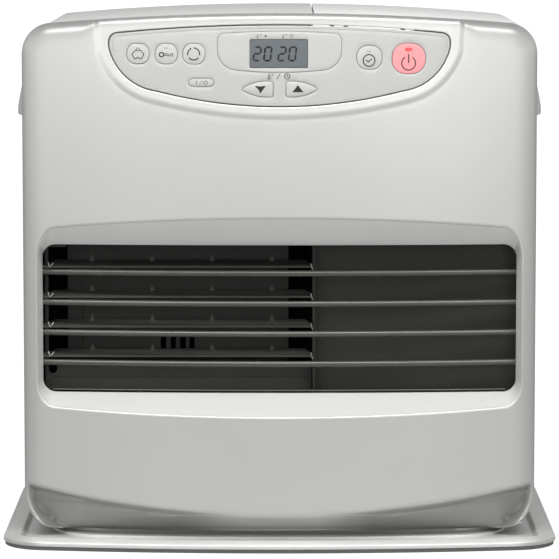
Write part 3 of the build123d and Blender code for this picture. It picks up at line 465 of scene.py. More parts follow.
def outline_d(x, z):
    """Distance inwards from the outline of the body seen from the front."""
    X = np.abs(x)
    d = np.minimum(np.minimum(HW - X, CROWN_R - np.hypot(x, z - CROWN_C)), z - Z_BOT)
    th = np.arctan2(z - TC[1], X - TC[0])
    top = (X > TC[0]) & (th >= 0) & (th <= TOP_ANG)
    d = np.where(top, TOP_CR - np.hypot(X - TC[0], z - TC[1]), d)
    bot = (X > BC[0]) & (z < BC[1])
    return np.where(bot, BOT_CR - np.hypot(X - BC[0], z - BC[1]), d)


R_SIDE, R_TOP, R_POD, R_LOW = 16.5, 11.0, 5.0, 3.5


def roll_r(x, z):
    """Radius of the rolled edge nearest to a point."""
    X = np.abs(x)
    side, crown, low = HW - X, CROWN_R - np.hypot(x, z - CROWN_C), z - Z_BOT
    r_top = R_POD + (R_TOP - R_POD) * ramp((X - 144.0) / 18.0)
    r = np.where((crown < side) & (crown < low), r_top, np.where(low < side, R_LOW, R_SIDE))
    th = np.arctan2(z - TC[1], X - TC[0])
    top = (X > TC[0]) & (th >= 0) & (z > TC[1])
    r = np.where(top, R_SIDE + (R_TOP - R_SIDE) * ramp(th / TOP_ANG), r)
    tb = np.arctan2(BC[1] - z, X - BC[0])
    bot = (X > BC[0]) & (z < BC[1])
    return np.where(bot, R_SIDE + (R_LOW + 2.0 - R_SIDE) * ramp(tb / (math.pi / 2)), r)


def outline_poly():
    """Counterclockwise outline, seen from the front."""
    pts = [(x, Z_BOT) for x in np.arange(-BC[0], BC[0] + 1e-6, 3.3)]
    pts += [(BC[0] + BOT_CR * math.cos(a), BC[1] + BOT_CR * math.sin(a)) for a in np.linspace(-math.pi / 2, 0, 30)]
    pts += [(HW, z) for z in np.arange(BC[1] + 3.0, TC[1] - 1.0, 3.4)]
    pts += [(TC[0] + TOP_CR * math.cos(a), TC[1] + TOP_CR * math.sin(a)) for a in np.linspace(0, TOP_ANG, 28)]
    xt = TC[0] * CROWN_R / (CROWN_R - TOP_CR)
    xs = np.unique(np.concatenate([np.arange(0, 140, 3.3), np.arange(140, 164, 1.2), np.arange(164, xt - 1.5, 3.0)]))
    xs = np.concatenate([xs[::-1], -xs[1:]])
    pts += [(x, CROWN_C + math.sqrt(CROWN_R**2 - x * x)) for x in xs]
    pts += [(-TC[0] - TOP_CR * math.cos(a), TC[1] + TOP_CR * math.sin(a)) for a in np.linspace(TOP_ANG, 0, 28)]
    pts += [(-HW, z) for z in np.arange(TC[1] - 3.0, BC[1] + 1.0, -3.4)]
    pts += [(-BC[0] - BOT_CR * math.cos(a), BC[1] + BOT_CR * math.sin(a)) for a in np.linspace(0, -math.pi / 2, 30)]
    return np.array(joinp(pts))


OUT = outline_poly()


def mirror_pts(p):
    return [(-x, z) for x, z in reversed(p)]


half = joinp(seg((151.5, 470), (151.5, 424), 2.0), seg((151.5, 424), (150.4, 404), 2.0),
             arc3((150.4, 404.0), (136.0, 379.6), (103.4, 361.8), 2.0),
             arc3((103.4, 361.8), (0, 349.4), (-103.4, 361.8), 2.0),
             arc3((-103.4, 361.8), (-136.0, 379.6), (-150.4, 404.0), 2.0),
             seg((-150.4, 404.0), (-151.5, 424.0), 2.0), seg((-151.5, 424.0), (-151.5, 470.0), 2.0))
POD = ccw(np.array(half))
POD_OPEN = np.array(half)
POD_RAMP = 9.5


def fascia_poly(step=1.6):
    a = arc3((138, 409.5), (125.0, 385.8), (100, 374.0), step)
    b = arc3((100, 374.0), (0, 361.6), (-100, 374.0), step)
    r = 7.0
    R = (138.0**2 + 7.4**2) / (2 * 7.4)
    zc = 426.8 - R
    fz = zc + math.sqrt((R - r) ** 2 - (138.0 - r) ** 2)
    tx = (138.0 - r) * R / (R - r)
    tz = zc + (fz - zc) * R / (R - r)
    a0 = math.atan2(tz - fz, tx - (138.0 - r))
    cor = [(138.0 - r + r * math.cos(t), fz + r * math.sin(t)) for t in np.linspace(0, a0, 12)]
    top = [(x, zc + math.sqrt(R * R - x * x)) for x in np.linspace(tx, -tx, int(2 * tx / step))]
    pts = joinp(seg((138, 409.5), (138, fz), step), cor, top, [(-x, z) for x, z in reversed(cor)],
                seg((-138, fz), (-138, 409.5), step), [(-x, z) for x, z in a], b[::-1], a[::-1])
    return ccw(resample(pts, step))


FASCIA = fascia_poly()


def smile(x):
    return 27.3 + np.asarray(x, float) ** 2 / 2020.0


def chin_depth(x, z, d):
    """How far the undercut below the smile-shaped edge lies behind the face."""
    X = np.abs(x)
    zs = smile(x)
    w = zs - z
    W = zs - 8.0
    total = (-91.0 + x * x / 2300.0) - face_y(x)
    k1 = 1.0 + 0.25 * ramp((X - 40.0) / 50.0)
    wr = 4.0 + 2.5 * ramp((X - 50.0) / 50.0)
    s = ramp((X - 45.0) / 45.0)
    flat = 0.9 * s
    k2 = np.maximum((total - k1 * wr) / np.maximum(W - wr - flat, 1.0), 0.25)
    A = np.where(w < wr, k1 * w, np.where(w < wr + flat, k1 * wr, k1 * wr + k2 * (w - wr - flat)))
    A = smax(A, 0.0, 2.6)
    lip = (d - 2.4) * 1.8 + 27.0 * ramp((206.0 - X) / 40.0)
    return np.maximum(smin(A, smax(lip, 0.0, 1.0), 1.6), 0.0)


def front_y(x, z):
    x, z = np.asarray(x, float), np.asarray(z, float)
    p = np.stack([x, z], 1)
    d = np.maximum(outline_d(x, z), 0.0)
    R = roll_r(x, z)
    S = np.where(d < R, R - np.sqrt(np.maximum(R * R - (R - d) ** 2, 0.0)), 0.0)
    u = np.where(inside(POD, p), dist_to(POD_OPEN, p, closed=False), 0.0) if (z > 340).any() else 0.0
    h = 2.5 * ramp((u - 0.7) / 5.2) - 0.55 * np.clip((u - 4.6) / 5.0, 0.0, 1.0) ** 1.15 - 0.20 * np.sin(np.pi * np.clip(u / 2.2, 0, 1)) ** 2
    h = np.where(u > 0, h, 0.0)
    return face_y(x) + S - h + chin_depth(x, z, d)


def rrect_poly(hx, z0, z1, r, step):
    """Rounded rectangle with the angle of its normal at each point: x, z, angle."""
    out = []

    def line(p, q, ang):
        n = max(1, int(math.dist(p, q) / step))
        for i in range(n):
            out.append((p[0] + (q[0] - p[0]) * i / n, p[1] + (q[1] - p[1]) * i / n, ang))

    def corner(cx, cz, a0):
        for i in range(12):
            a = a0 + math.pi / 2 * i / 12
            out.append((cx + r * math.cos(a), cz + r * math.sin(a), a))

    line((-hx + r, z0), (hx - r, z0), -math.pi / 2)
    corner(hx - r, z0 + r, -math.pi / 2)
    line((hx, z0 + r), (hx, z1 - r), 0.0)
    corner(hx - r, z1 - r, 0.0)
    line((hx - r, z1), (-hx + r, z1), math.pi / 2)
    corner(-hx + r, z1 - r, math.pi / 2)
    line((-hx, z1 - r), (-hx, z0 + r), math.pi)
    corner(-hx + r, z0 + r, math.pi)
    return np.array(out)


def win_y(x):
    return Y_WIN + WIN_R - np.sqrt(WIN_R**2 - x * x)


WIN = rrect_poly(WIN_HX, WIN_Z0, WIN_Z1, 10.7, 2.6)
wx, wz, wa = WIN.T
P0 = np.stack([wx, win_y(wx), wz], 1)
kz = np.where(np.sin(wa) > 0, K_TOP, K_BOT)
D = np.stack([K_SIDE * np.cos(wa), -np.ones_like(wa), kz * np.sin(wa)], 1)
tau = np.full(len(wa), 30.0)
for _ in range(30):
    tau = win_y(wx) - face_y(wx + D[:, 0] * tau)
B = P0 + D * tau[:, None]
nb = normals2(B[:, [0, 2]])
EDGE = 1.5
T1 = B[:, [0, 2]] + nb * EDGE
T1y = front_y(T1[:, 0], T1[:, 1])
T1_3 = np.stack([T1[:, 0], T1y, T1[:, 1]], 1)
wall = P0 - B
wall_len = np.linalg.norm(wall, axis=1)
wall_u = wall / wall_len[:, None]
T2 = B + wall_u * EDGE

curves = []
for d in (0.12, 0.45, 1.0, 1.8, 2.9, 4.2, 5.8, 7.8, 10.2, 13.0, 16.5):
    c = OUT - normals2(OUT) * d
    curves.append((c, True))
for u in (0.0, 0.9, 1.9, 3.0, 4.2, 5.5, 6.8, 8.0, 9.5):
    run = [(x, z) for x, z in half]
    q = np.array(run)
    t = np.gradient(q, axis=0)
    t /= np.hypot(t[:, 0], t[:, 1])[:, None]
    n = np.stack([t[:, 1], -t[:, 0]], 1)
    inner = q + n * u if inside(POD, q[len(q) // 2 : len(q) // 2 + 1] + n[len(q) // 2 : len(q) // 2 + 1])[0] else q - n * u
    dd = outline_d(inner[:, 0], inner[:, 1])
    inner = inner[(dd > 0.3) & (inner[:, 1] < 440)]
    curves.append((inner, False))
xs_smile = np.arange(-206.0, 206.1, 3.0)
for w in (-3.0, -1.6, -0.6, 0.3, 1.2, 2.2, 3.4):
    c = np.stack([xs_smile, smile(xs_smile) - w], 1)
    dd = outline_d(c[:, 0], c[:, 1])
    curves.append((c[dd > 0.6], False))
for w in (0.0, 0.9):
    X = np.abs(xs_smile)
    wr = 4.0 + 2.5 * ramp((X - 50.0) / 50.0) + w * ramp((X - 45.0) / 45.0)
    c = np.stack([xs_smile, smile(xs_smile) - wr], 1)
    dd = outline_d(c[:, 0], c[:, 1])
    sel = (dd > 0.6) & ((X > 46) | (w == 0.0))
    for side in (-1, 1):
        k = sel & (xs_smile * side > 0)
        curves.append((c[k], False))
FAS_T1 = grow(FASCIA, 1.9)
v2, tri = cdt(OUT, [FAS_T1, T1], curves, 4.2)
yy = front_y(v2[:, 0], v2[:, 1])
verts = [(x, y, z) for (x, z), y in zip(v2, yy)]
faces = [tuple(t) for t in tri]
fmat = [0] * len(faces)


def add_rows(rows, closed=True, flip=False, mat=0):
    base = len(verts)
    for r in rows:
        verts.extend(map(tuple, r))
    f = strip(rows, closed, flip, base)
    faces.extend(f)
    fmat.extend([mat] * len(f))


# rounded lip of the pod around the control panel
C1 = grow(FASCIA, 0.9)
t1y = front_y(FAS_T1[:, 0], FAS_T1[:, 1])
cy = front_y(C1[:, 0], C1[:, 1])
a3 = np.stack([FAS_T1[:, 0], t1y, FAS_T1[:, 1]], 1)
c3 = np.stack([C1[:, 0], cy, C1[:, 1]], 1)
e3 = c3 + np.array([0, 1.0, 0])
rows = [(1 - t) ** 2 * a3 + 2 * t * (1 - t) * c3 + t * t * e3 for t in (0, 0.25, 0.5, 0.75, 1.0)]
rows.append(c3 + np.array([0, 4.4, 0]))
add_rows(rows, flip=True)
# scoop
rows = [(1 - t) ** 2 * T1_3 + 2 * t * (1 - t) * B + t * t * T2 for t in (0, 0.2, 0.4, 0.6, 0.8, 1.0)]
T3 = P0 - wall_u * 1.0
add_rows(rows, flip=True, mat=0)
body_rows = [T2 + (T3 - T2) * t for t in np.linspace(0, 1, 7)]
T4 = P0 + np.array([0, 1.0, 0])
body_rows += [(1 - t) ** 2 * T3 + 2 * t * (1 - t) * P0 + t * t * T4 for t in (0.33, 0.66, 1.0)]
roof0 = len(faces)
add_rows(body_rows, flip=True, mat=1)
n_w = len(wa)
# the upper wall of the scoop takes the paler copy, painted light on a face turned down
for i in range(len(faces) - roof0):
    if math.sin(wa[i % n_w]) > 0.6:
        fmat[roof0 + i] = 2
inn = P0 + np.stack([2.4 * np.cos(wa), np.full_like(wa, 5.5), 2.4 * np.sin(wa)], 1)
add_rows([T4, inn], flip=True, mat=1)
# returns behind the outline: rolled top to the lid and top plate, sides to the cabinet
oy = front_y(OUT[:, 0], OUT[:, 1])
o3 = np.stack([OUT[:, 0], oy, OUT[:, 1]], 1)
top_end = AXIS_Y - np.sqrt((FACE_R - TOP_SPLIT) ** 2 - OUT[:, 0] ** 2)
up = ramp((OUT[:, 1] - (Z_LID - 1.5)) / 1.5)
end = Y_WRAP * (1 - up) + top_end * up
end = np.where(OUT[:, 1] < 60, np.minimum(end, -58.0), end)
end = np.maximum(end, oy + 0.5)
n2 = normals2(OUT)
rows = [o3]
for t in (0.3, 0.65, 1.0):
    r = o3.copy()
    r[:, 1] = oy + (end - oy) * t
    rows.append(r)
back = rows[-1].copy()
back[:, 0] -= n2[:, 0] * 1.0
back[:, 2] -= n2[:, 1] * 1.0
back[:, 1] += 0.35
back2 = back.copy()
back2[:, 0] -= n2[:, 0] * 0.8
back2[:, 2] -= n2[:, 1] * 0.8
back2[:, 1] -= 3.0
rows += [back, back2]
add_rows(rows, flip=False)
front = to_obj("front_shell", verts, faces, [M["front_paint"], M["scoop_paint"], M["scoop_roof"]], replaces=("front_panel",),
               face_mat=fmat, weld=0.02, sharp_deg=50)
# painted light and shade in the base colour: painted shade darkening the rolled top towards its edge and along the side
# edges, a painted highlight on the raised ring round the control panel, painted shade in the undercut below the chin
co = np.empty(len(front.data.vertices) * 3)
front.data.vertices.foreach_get("co", co)
co = co.reshape(-1, 3) / MM
dd = np.maximum(outline_d(co[:, 0], co[:, 2]), 0.0)
Rr = roll_r(co[:, 0], co[:, 2])
ang = np.arctan2(co[:, 2] - TC[1], np.abs(co[:, 0]) - TC[0])
top_w = np.where(np.abs(co[:, 0]) > TC[0], ramp(np.clip(ang, 0.0, TOP_ANG) / TOP_ANG), 1.0) * ramp((co[:, 2] - 396.0) / 14.0)
reach = np.where(np.abs(co[:, 0]) > 146.0, 1.6, 1.4)
# painted shade over the rolled top, and a lighter painted shade along the side edges
tone_top = 0.36 + 0.64 * ramp(dd / np.maximum(Rr * reach, 8.0)) ** 1.1
tone_side = 0.80 + 0.20 * ramp(dd / 4.0)
tone_side = np.where((np.abs(co[:, 0]) > 150.0) & (co[:, 2] > 40.0), tone_side, 1.0)
painted_shading = tone_side + (tone_top - tone_side) * top_w
# painted highlight on the raised ring round the control panel, strongest on its left flank
pin = inside(POD, co[:, [0, 2]])
uu = np.where(pin & (co[:, 2] > 340), dist_to(POD_OPEN, co[:, [0, 2]], closed=False), 0.0)
flank = ramp((np.abs(co[:, 0]) - 128.0) / 16.0)
gain = 0.34 * (1.0 - flank) + np.where(co[:, 0] < 0, 0.62, 0.26) * flank
painted_shading = painted_shading * (1.0 + (0.09 + (gain - 0.09) * (1.0 - ramp((uu - 3.6) / 3.4))) * ramp((uu - 0.1) / 1.5) * ramp(dd / 6.0))
# painted shade in the undercut below the smile-shaped lower edge, growing towards the sides
cd = chin_depth(co[:, 0], co[:, 2], dd)
painted_shading = painted_shading * np.where(co[:, 2] < 75.0, 1.0 - 0.46 * ramp(cd / 4.0) * ramp((np.abs(co[:, 0]) - 25.0) / 60.0), 1.0)
att = front.data.attributes.new("painted_shading", "FLOAT", "POINT")
att.data.foreach_set("value", painted_shading.astype(np.float32))

# --------------------------------------------------------------- control panel
def closed_pad(name, outline, off, r, crown, back, mat, body="cabinet", replaces=(), step=2.0, holes=(), extra_curves=(), dip=None, face_pick=None):
    """Solid that follows the bowed face: rounded edge of radius r, crowned front, flat back."""
    outline = ccw(np.asarray(outline, float))
    curves = [(grow(outline, -r * t), True) for t in (0.13, 0.38, 0.7, 1.0)] if r else []
    holes = [ccw(np.asarray(h, float)) for h in holes]
    for h in holes:
        curves += [(grow(h, r * t), True) for t in (0.25, 0.8)] if r else []
    curves += list(extra_curves)
    v, f = cdt(outline, holes, curves, step)
    d = dist_to(outline, v)
    for h in holes:
        d = np.minimum(d, dist_to(h, v))
    drop = np.where(d < r, r - np.sqrt(np.maximum(r * r - (r - d) ** 2, 0.0)), 0.0) if r else 0.0
    cr = crown * (1.0 - (1.0 - np.clip(d / max(d.max(), 1e-6), 0, 1)) ** 2) if crown else 0.0
    o = off - drop + cr
    if dip is not None:
        o = o - dip(v)
    yf = AXIS_Y - np.sqrt((FACE_R + o) ** 2 - v[:, 0] ** 2)
    yb = AXIS_Y - np.sqrt((FACE_R + back) ** 2 - v[:, 0] ** 2)
    n = len(v)
    vs = [(x, y, z) for (x, z), y in zip(v, yf)] + [(x, y, z) for (x, z), y in zip(v, yb)]
    fs = [tuple(t) for t in f] + [(t[0] + n, t[2] + n, t[1] + n) for t in f]
    fm = [0] * len(fs)
    if face_pick is not None:
        c = v[f].mean(1)
        for i, p in enumerate(face_pick(c)):
            fm[i] = int(p)
    seen = {}
    for t in f:
        for a, b in ((t[0], t[1]), (t[1], t[2]), (t[2], t[0])):
            seen[(a, b)] = seen.get((a, b), 0) + 1
    for a, b in seen:
        if (b, a) not in seen:
            fs.append((b, a, a + n, b + n))
            fm.append(0)
    return to_obj(name, vs, fs, mat, body=body, replaces=replaces, face_mat=fm, sharp_deg=52)


def rr2(cx, cz, w, h, r, n=9):
    """Rounded rectangle outline."""
    pts = []
    for sx, sz, a0 in ((1, 1, 0), (-1, 1, 90), (-1, -1, 180), (1, -1, 270)):
        for i in range(n):
            a = math.radians(a0 + 90 * i / (n - 1))
            pts.append((cx + sx * (w / 2 - r) + r * math.cos(a), cz + sz * (h / 2 - r) + r * math.sin(a)))
    out = []
    for p in pts:
        if not out or math.dist(out[-1], p) > 0.05:
            out.append(p)
    return resample(out, 0.8)


def lens_key(m):
    """Outline of the down (-1) or up (+1) key: flat towards the middle, pointed outwards."""
    lo = arc3((5.3, 369.4), (19.0, 370.1), (29.4, 374.3), 1.0)
    hi = arc3((29.4, 376.3), (19.0, 380.6), (5.3, 381.2), 1.0)
    p = joinp([(6.2, 369.45)], lo[2:-1], [(30.0, 374.9), (30.0, 375.7)], hi[1:-2], [(6.2, 381.15), (5.45, 380.5), (5.3, 379.6), (5.3, 371.0), (5.45, 370.0)])
    return ccw(resample([(m * x, z) for x, z in p], 0.8))


KEYS = {
    "economy_button": (rr2(-114.7, 403.6, 17.9, 16.1, 7.0), "economy", 0.5),
    "lock_button": (rr2(-91.7, 403.6, 17.9, 16.1, 7.0), "lock", 0.5),
    "cycle_button": (rr2(-69.2, 403.6, 17.9, 16.1, 7.0), "cycle", 0.5),
    "mode_button": (rr2(-63.5, 380.6, 19.7, 6.4, 3.1), "mode", 0.3),
    "timer_button": (rr2(72.7, 400.8, 20.4, 18.7, 8.4), "timer", 0.5),
    "power_button": (rr2(104.7, 399.8, 27.0, 24.4, 11.0), "power", 0.3),
    "down_button": (lens_key(-1), "down", 0.6),
    "up_button": (lens_key(1), "up", 0.6),
}
KEY_OFF, KEY_R = 2.0, 0.45

bez = joinp(
    arc3((-44.98, 420.3), (0.0, 422.1), (44.98, 420.3), 1.5),
    arc3((44.98, 420.3), (48.7, 418.6), (50.2, 414.6), 0.8),
    seg((50.2, 414.6), (50.2, 407.0), 1.2),
    arc3((50.2, 407.0), (46.6, 396.6), (36.2, 390.8), 1.0),
    arc3((36.2, 390.8), (0.0, 388.7), (-36.2, 390.8), 1.5),
    arc3((-36.2, 390.8), (-46.6, 396.6), (-50.2, 407.0), 1.0),
    seg((-50.2, 407.0), (-50.2, 414.6), 1.2),
    arc3((-50.2, 414.6), (-48.7, 418.6), (-44.98, 420.3), 0.8),
)
BEZEL = ccw(np.array(bez))
n_f = len(FASCIA)
inner_line = grow(FASCIA, -2.35)
sel = inner_line[:, 1] > 405.5
# the run of the second pressed line, over the top and round both ends
start = np.argmax(~sel)
roll_idx = np.roll(np.arange(n_f), -start)
run = roll_idx[sel[roll_idx]]
LINE2 = inner_line[run]


def open_offset(p, d):
    t = np.gradient(p, axis=0)
    t /= np.maximum(np.hypot(t[:, 0], t[:, 1])[:, None], 1e-9)
    return p + np.stack([t[:, 1], -t[:, 0]], 1) * d


def plate_dip(v):
    d1 = dist_to(BEZEL, v)
    d2 = dist_to(LINE2, v, closed=False)
    a = np.where(d1 < 0.42, 0.22 * (1 - (d1 / 0.42) ** 2), 0.0)
    b = np.where(d2 < 0.36, 0.16 * (1 - (d2 / 0.36) ** 2), 0.0)
    panel_in = np.where(inside(BEZEL, v), -0.12, 0.0)
    return a + b + panel_in * ramp(d1 / 0.8)


def plate_pick(c):
    return (dist_to(BEZEL, c) < 0.36) * 1 + (dist_to(LINE2, c, closed=False) < 0.24) * 2


LCD_HOLE = rr2(-0.6, 403.95, 47.1, 23.4, 1.1, n=5)
holes = [grow(ccw(k[0]), 0.28) for k in KEYS.values()] + [LCD_HOLE]
ex = [(grow(BEZEL, d), True) for d in (-0.8, -0.36, 0.0, 0.36)]
ex += [(open_offset(LINE2, d), False) for d in (-0.3, 0.0, 0.3)]
closed_pad("control_plate", FASCIA, PLATE_OUT, 0.45, 0.0, -0.9, [M["panel_plastic"], M["line_grey"], M["line_light"]], replaces=("control_panel",),
           step=3.2, holes=holes, extra_curves=ex, dip=plate_dip, face_pick=plate_pick)

for node, (poly_, body, crown) in KEYS.items():
    mat = M["power_plastic"] if node == "power_button" else M["button_plastic"]
    closed_pad(node.replace("_button", "_key"), poly_, KEY_OFF, KEY_R, crown, -2.0, mat, body=body, replaces=(node,),
               step=1.7)


def key_height(node, p):
    """Offset of a key's crowned top at given points."""
    poly_, _, crown = KEYS[node]
    outline = ccw(np.asarray(poly_, float))
    d = dist_to(outline, p)
    dm = min(np.ptp(outline[:, 0]), np.ptp(outline[:, 1])) / 2
    return KEY_OFF + crown * (1 - (1 - np.clip(d / dm, 0, 1)) ** 2)


def ink(name, shapes, off, mat, body, lift=0.05, deep=0.18, node=None, step=1.2):
    """Thin printed or inlaid shapes; each is an outline, or an outline with holes."""
    vs, fs = [], []
    for sh in shapes:
        border, hs = (sh if isinstance(sh, tuple) else (sh, []))
        border = ccw(np.asarray(border, float))
        v, f = cdt(border, [ccw(np.asarray(h, float)) for h in hs], [], step)
        o = (key_height(node, v) if node else off) + lift
        yf = AXIS_Y - np.sqrt((FACE_R + o) ** 2 - v[:, 0] ** 2)
        n, b = len(v), len(vs)
        vs += [(x, y, z) for (x, z), y in zip(v, yf)] + [(x, y + deep, z) for (x, z), y in zip(v, yf)]
        fs += [tuple(t + b) for t in f] + [(t[0] + n + b, t[2] + n + b, t[1] + n + b) for t in f]
        seen = {(a, c) for t in f for a, c in ((t[0], t[1]), (t[1], t[2]), (t[2], t[0]))}
        fs += [(c + b, a + b, a + n + b, c + n + b) for a, c in seen if (c, a) not in seen]
    return to_obj(name, vs, fs, mat, body=body, smooth=False)


def circle_pts(cx, cz, r, n=28, squash=1.0):
    return np.array([(cx + r * math.cos(a), cz + r * squash * math.sin(a)) for a in np.linspace(0, 2 * math.pi, n, endpoint=False)])


def ring_shape(cx, cz, r, w, n=32):
    return (circle_pts(cx, cz, r + w / 2, n), [circle_pts(cx, cz, r - w / 2, n)])


def arc_band(cx, cz, r, w, a0, a1, n=16):
    a = np.radians(np.linspace(a0, a1, n))
    o = [(cx + (r + w / 2) * math.cos(t), cz + (r + w / 2) * math.sin(t)) for t in a]
    i = [(cx + (r - w / 2) * math.cos(t), cz + (r - w / 2) * math.sin(t)) for t in a[::-1]]
    return np.array(o + i)


def bar(p, q, w, cap=0.0):
    d = np.array(q, float) - np.array(p, float)
    u = d / np.hypot(*d)
    n = np.array([-u[1], u[0]]) * w / 2
    p = np.array(p) - u * cap
    q = np.array(q) + u * cap
    return np.array([p + n, p - n, q - n, q + n])


def stroke(pts, w, closed=False):
    """Outline of a bent line of even width."""
    p = np.asarray(pts, float)
    n = len(p)
    off = []
    for i in range(n):
        if closed:
            a, b, c = p[(i - 1) % n], p[i], p[(i + 1) % n]
        else:
            a, b, c = p[max(i - 1, 0)], p[i], p[min(i + 1, n - 1)]
        u = b - a if (closed or i > 0) else c - b
        v = c - b if (closed or i < n - 1) else b - a
        u = u / np.hypot(*u)
        v = v / np.hypot(*v)
        m = np.array([-u[1] - v[1], u[0] + v[0]])
        m = m / np.hypot(*m)
        k = min(2.0, 1.0 / max(0.4, m[0] * -u[1] + m[1] * u[0]))
        off.append(m * w / 2 * k)
    off = np.array(off)
    if closed:
        return (p + off, [p - off]) if inside(p + off, p[:1])[0] else (p - off, [p + off])
    return np.vstack([p + off, (p - off)[::-1]])


# economy: a small house with a coin over it
hx, hz = -114.6, 403.0
house = [(hx - 4.9, hz + 0.3), (hx - 2.3, hz + 3.4), (hx + 2.3, hz + 3.4), (hx + 4.9, hz + 0.3), (hx + 2.9, hz - 3.2), (hx + 1.2, hz - 3.2),
         (hx + 0.7, hz - 2.3), (hx - 0.7, hz - 2.3), (hx - 1.2, hz - 3.2), (hx - 2.9, hz - 3.2)]
ink("economy_mark", [stroke(house, 0.75, True)], 0, M["ink"], "economy", node="economy_button")
ink("economy_coin", [ring_shape(hx, hz + 4.3, 1.15, 0.7, 20)], 0, M["ink_grey"], "economy", node="economy_button")
# lock: a key
kx, kz = -91.3, 403.1
ink("lock_mark", [ring_shape(kx - 4.2, kz, 1.75, 0.95, 24), stroke([(kx - 2.1, kz + 0.75), (kx + 4.9, kz + 0.75), (kx + 4.9, kz - 1.5)], 0.6),
                  stroke([(kx - 2.1, kz - 0.55), (kx + 2.0, kz - 0.55), (kx + 2.0, kz - 1.5)], 0.6),
                  bar((kx + 3.4, kz + 0.4), (kx + 3.4, kz - 1.4), 0.6)], 0, M["ink"], "lock", node="lock_button")
ink("lock_lamp", [rr2(-91.8, 408.3, 3.4, 1.5, 0.7, 6)], 0, M["led_grey"], "lock", node="lock_button", lift=0.06)
# cycle: a broken circle
ink("cycle_mark", [arc_band(-69.4, 403.8, 4.85, 1.0, a, b) for a, b in ((112, 193), (218, 322), (347, 450))], 0, M["ink"], "cycle", node="cycle_button")
# mode: bar and circle
ink("mode_mark", [bar((-67.3, 378.9), (-67.3, 382.2), 0.75), bar((-64.9, 378.7), (-62.7, 382.4), 0.55), ring_shape(-59.9, 380.55, 1.45, 0.65, 20)], 0,
    M["ink_grey"], "mode", node="mode_button")
# timer: clock face with its hands
ink("timer_mark", [ring_shape(72.4, 398.55, 4.75, 0.95), stroke([(69.9, 398.9), (71.9, 397.4), (74.8, 400.0)], 0.85)], 0, M["ink"], "timer", node="timer_button")
ink("timer_lamp", [rr2(72.4, 405.8, 4.2, 1.7, 0.8, 6)], 0, M["led_grey"], "timer", node="timer_button", lift=0.06)
# power: bar in a broken circle
ink("power_mark", [arc_band(104.55, 396.2, 5.6, 1.0, 122, 418, 34), bar((104.55, 396.5), (104.55, 403.4), 1.15, 0.2)], 0, M["ink_red"], "power", node="power_button")
ink("power_lamp", [rr2(104.5, 407.4, 5.8, 2.6, 1.2, 8)], 0, M["red_lens"], "power", node="power_button", lift=0.12, deep=0.9)
ink("down_mark", [[(-19.95, 378.05), (-15.5, 372.1), (-10.95, 378.05)]], 0, M["ink"], "down", node="down_button")
ink("up_mark", [[(10.2, 373.05), (19.55, 373.05), (14.8, 378.85)]], 0, M["ink"], "up", node="up_button")
# small pictograms over and under the display: set point, room, and thermometer / clock
cap = [ring_shape(-17.6, 417.3, 0.75, 0.45, 16), stroke([(-17.6, 418.1), (-17.6, 420.0)], 0.55), bar((-15.9, 419.8), (-14.2, 419.8), 0.4), bar((-15.9, 418.7), (-14.9, 418.7), 0.4),
       [(-12.6, 417.5), (-9.9, 417.5), (-11.25, 419.7)],
       ring_shape(3.0, 417.3, 0.75, 0.45, 16), stroke([(3.0, 418.1), (3.0, 420.0)], 0.55), bar((4.7, 419.8), (6.4, 419.8), 0.4), bar((4.7, 418.7), (5.7, 418.7), 0.4),
       stroke([(8.3, 418.6), (9.9, 420.0), (11.5, 418.6)], 0.45), stroke([(8.8, 418.5), (8.8, 416.8), (11.0, 416.8), (11.0, 418.5)], 0.42)]
ink("display_marks", cap, 1.84, M["ink_grey"], "cabinet")
cap = [ring_shape(-8.4, 384.5, 1.0, 0.6, 18), stroke([(-8.4, 385.5), (-8.4, 388.0)], 0.8), bar((-6.6, 387.7), (-4.4, 387.7), 0.5), bar((-6.6, 386.3), (-5.2, 386.3), 0.5),
       bar((-2.2, 383.4), (0.6, 388.2), 0.55), ring_shape(6.2, 385.8, 2.15, 0.6, 26), stroke([(6.2, 387.1), (6.2, 385.7), (7.3, 385.2)], 0.5)]
ink("setting_marks", cap, PLATE_OUT, M["ink"], "cabinet")

# display: recessed glass with slanted seven-segment figures
glass = closed_pad("display_face", rr2(-0.6, 403.95, 46.5, 22.8, 1.0, n=5), 1.25, 0.12, 0.0, -0.6, M["lcd"], step=3.0)
SEGS = {"0": "abcdef", "2": "abged"}


def figure(ch, x0, z0, w, h, t, slant):
    s = []
    m = h / 2
    g = 0.22

    def hseg(z, inset):
        return [(inset, z), (inset + t / 2, z + t / 2), (w - inset - t / 2, z + t / 2), (w - inset, z), (w - inset - t / 2, z - t / 2), (inset + t / 2, z - t / 2)]

    def vseg(x, za, zb):
        return [(x, za + g), (x + t / 2, za + g + t / 2), (x + t / 2, zb - g - t / 2), (x, zb - g), (x - t / 2, zb - g - t / 2), (x - t / 2, za + g + t / 2)]

    table = {
        "a": hseg(h - t / 2, t / 2 + g), "g": hseg(m, t / 2 + g), "d": hseg(t / 2, t / 2 + g),
        "f": vseg(t / 2, m, h - t / 2), "b": vseg(w - t / 2, m, h - t / 2),
        "e": vseg(t / 2, t / 2, m), "c": vseg(w - t / 2, t / 2, m),
    }
    for k_ in SEGS[ch]:
        s.append(np.array([(x0 + x + slant * z, z0 + z) for x, z in table[k_]]))
    return s


figs = []
for ch, x0 in zip("2020", (-22.1, -13.5, -2.0, 6.45)):
    figs += figure(ch, x0, 397.85, 6.75, 12.3, 1.5, 0.115)
ink("display_figures", figs, 1.25, M["lcd_dark"], "cabinet", lift=0.03, deep=0.12, step=2.0)

# ------------------------------------------------------------------- base tray
N_ARC, N_COR, N_SIDE, N_REAR, N_BACK = 150, 18, 30, 10, 60


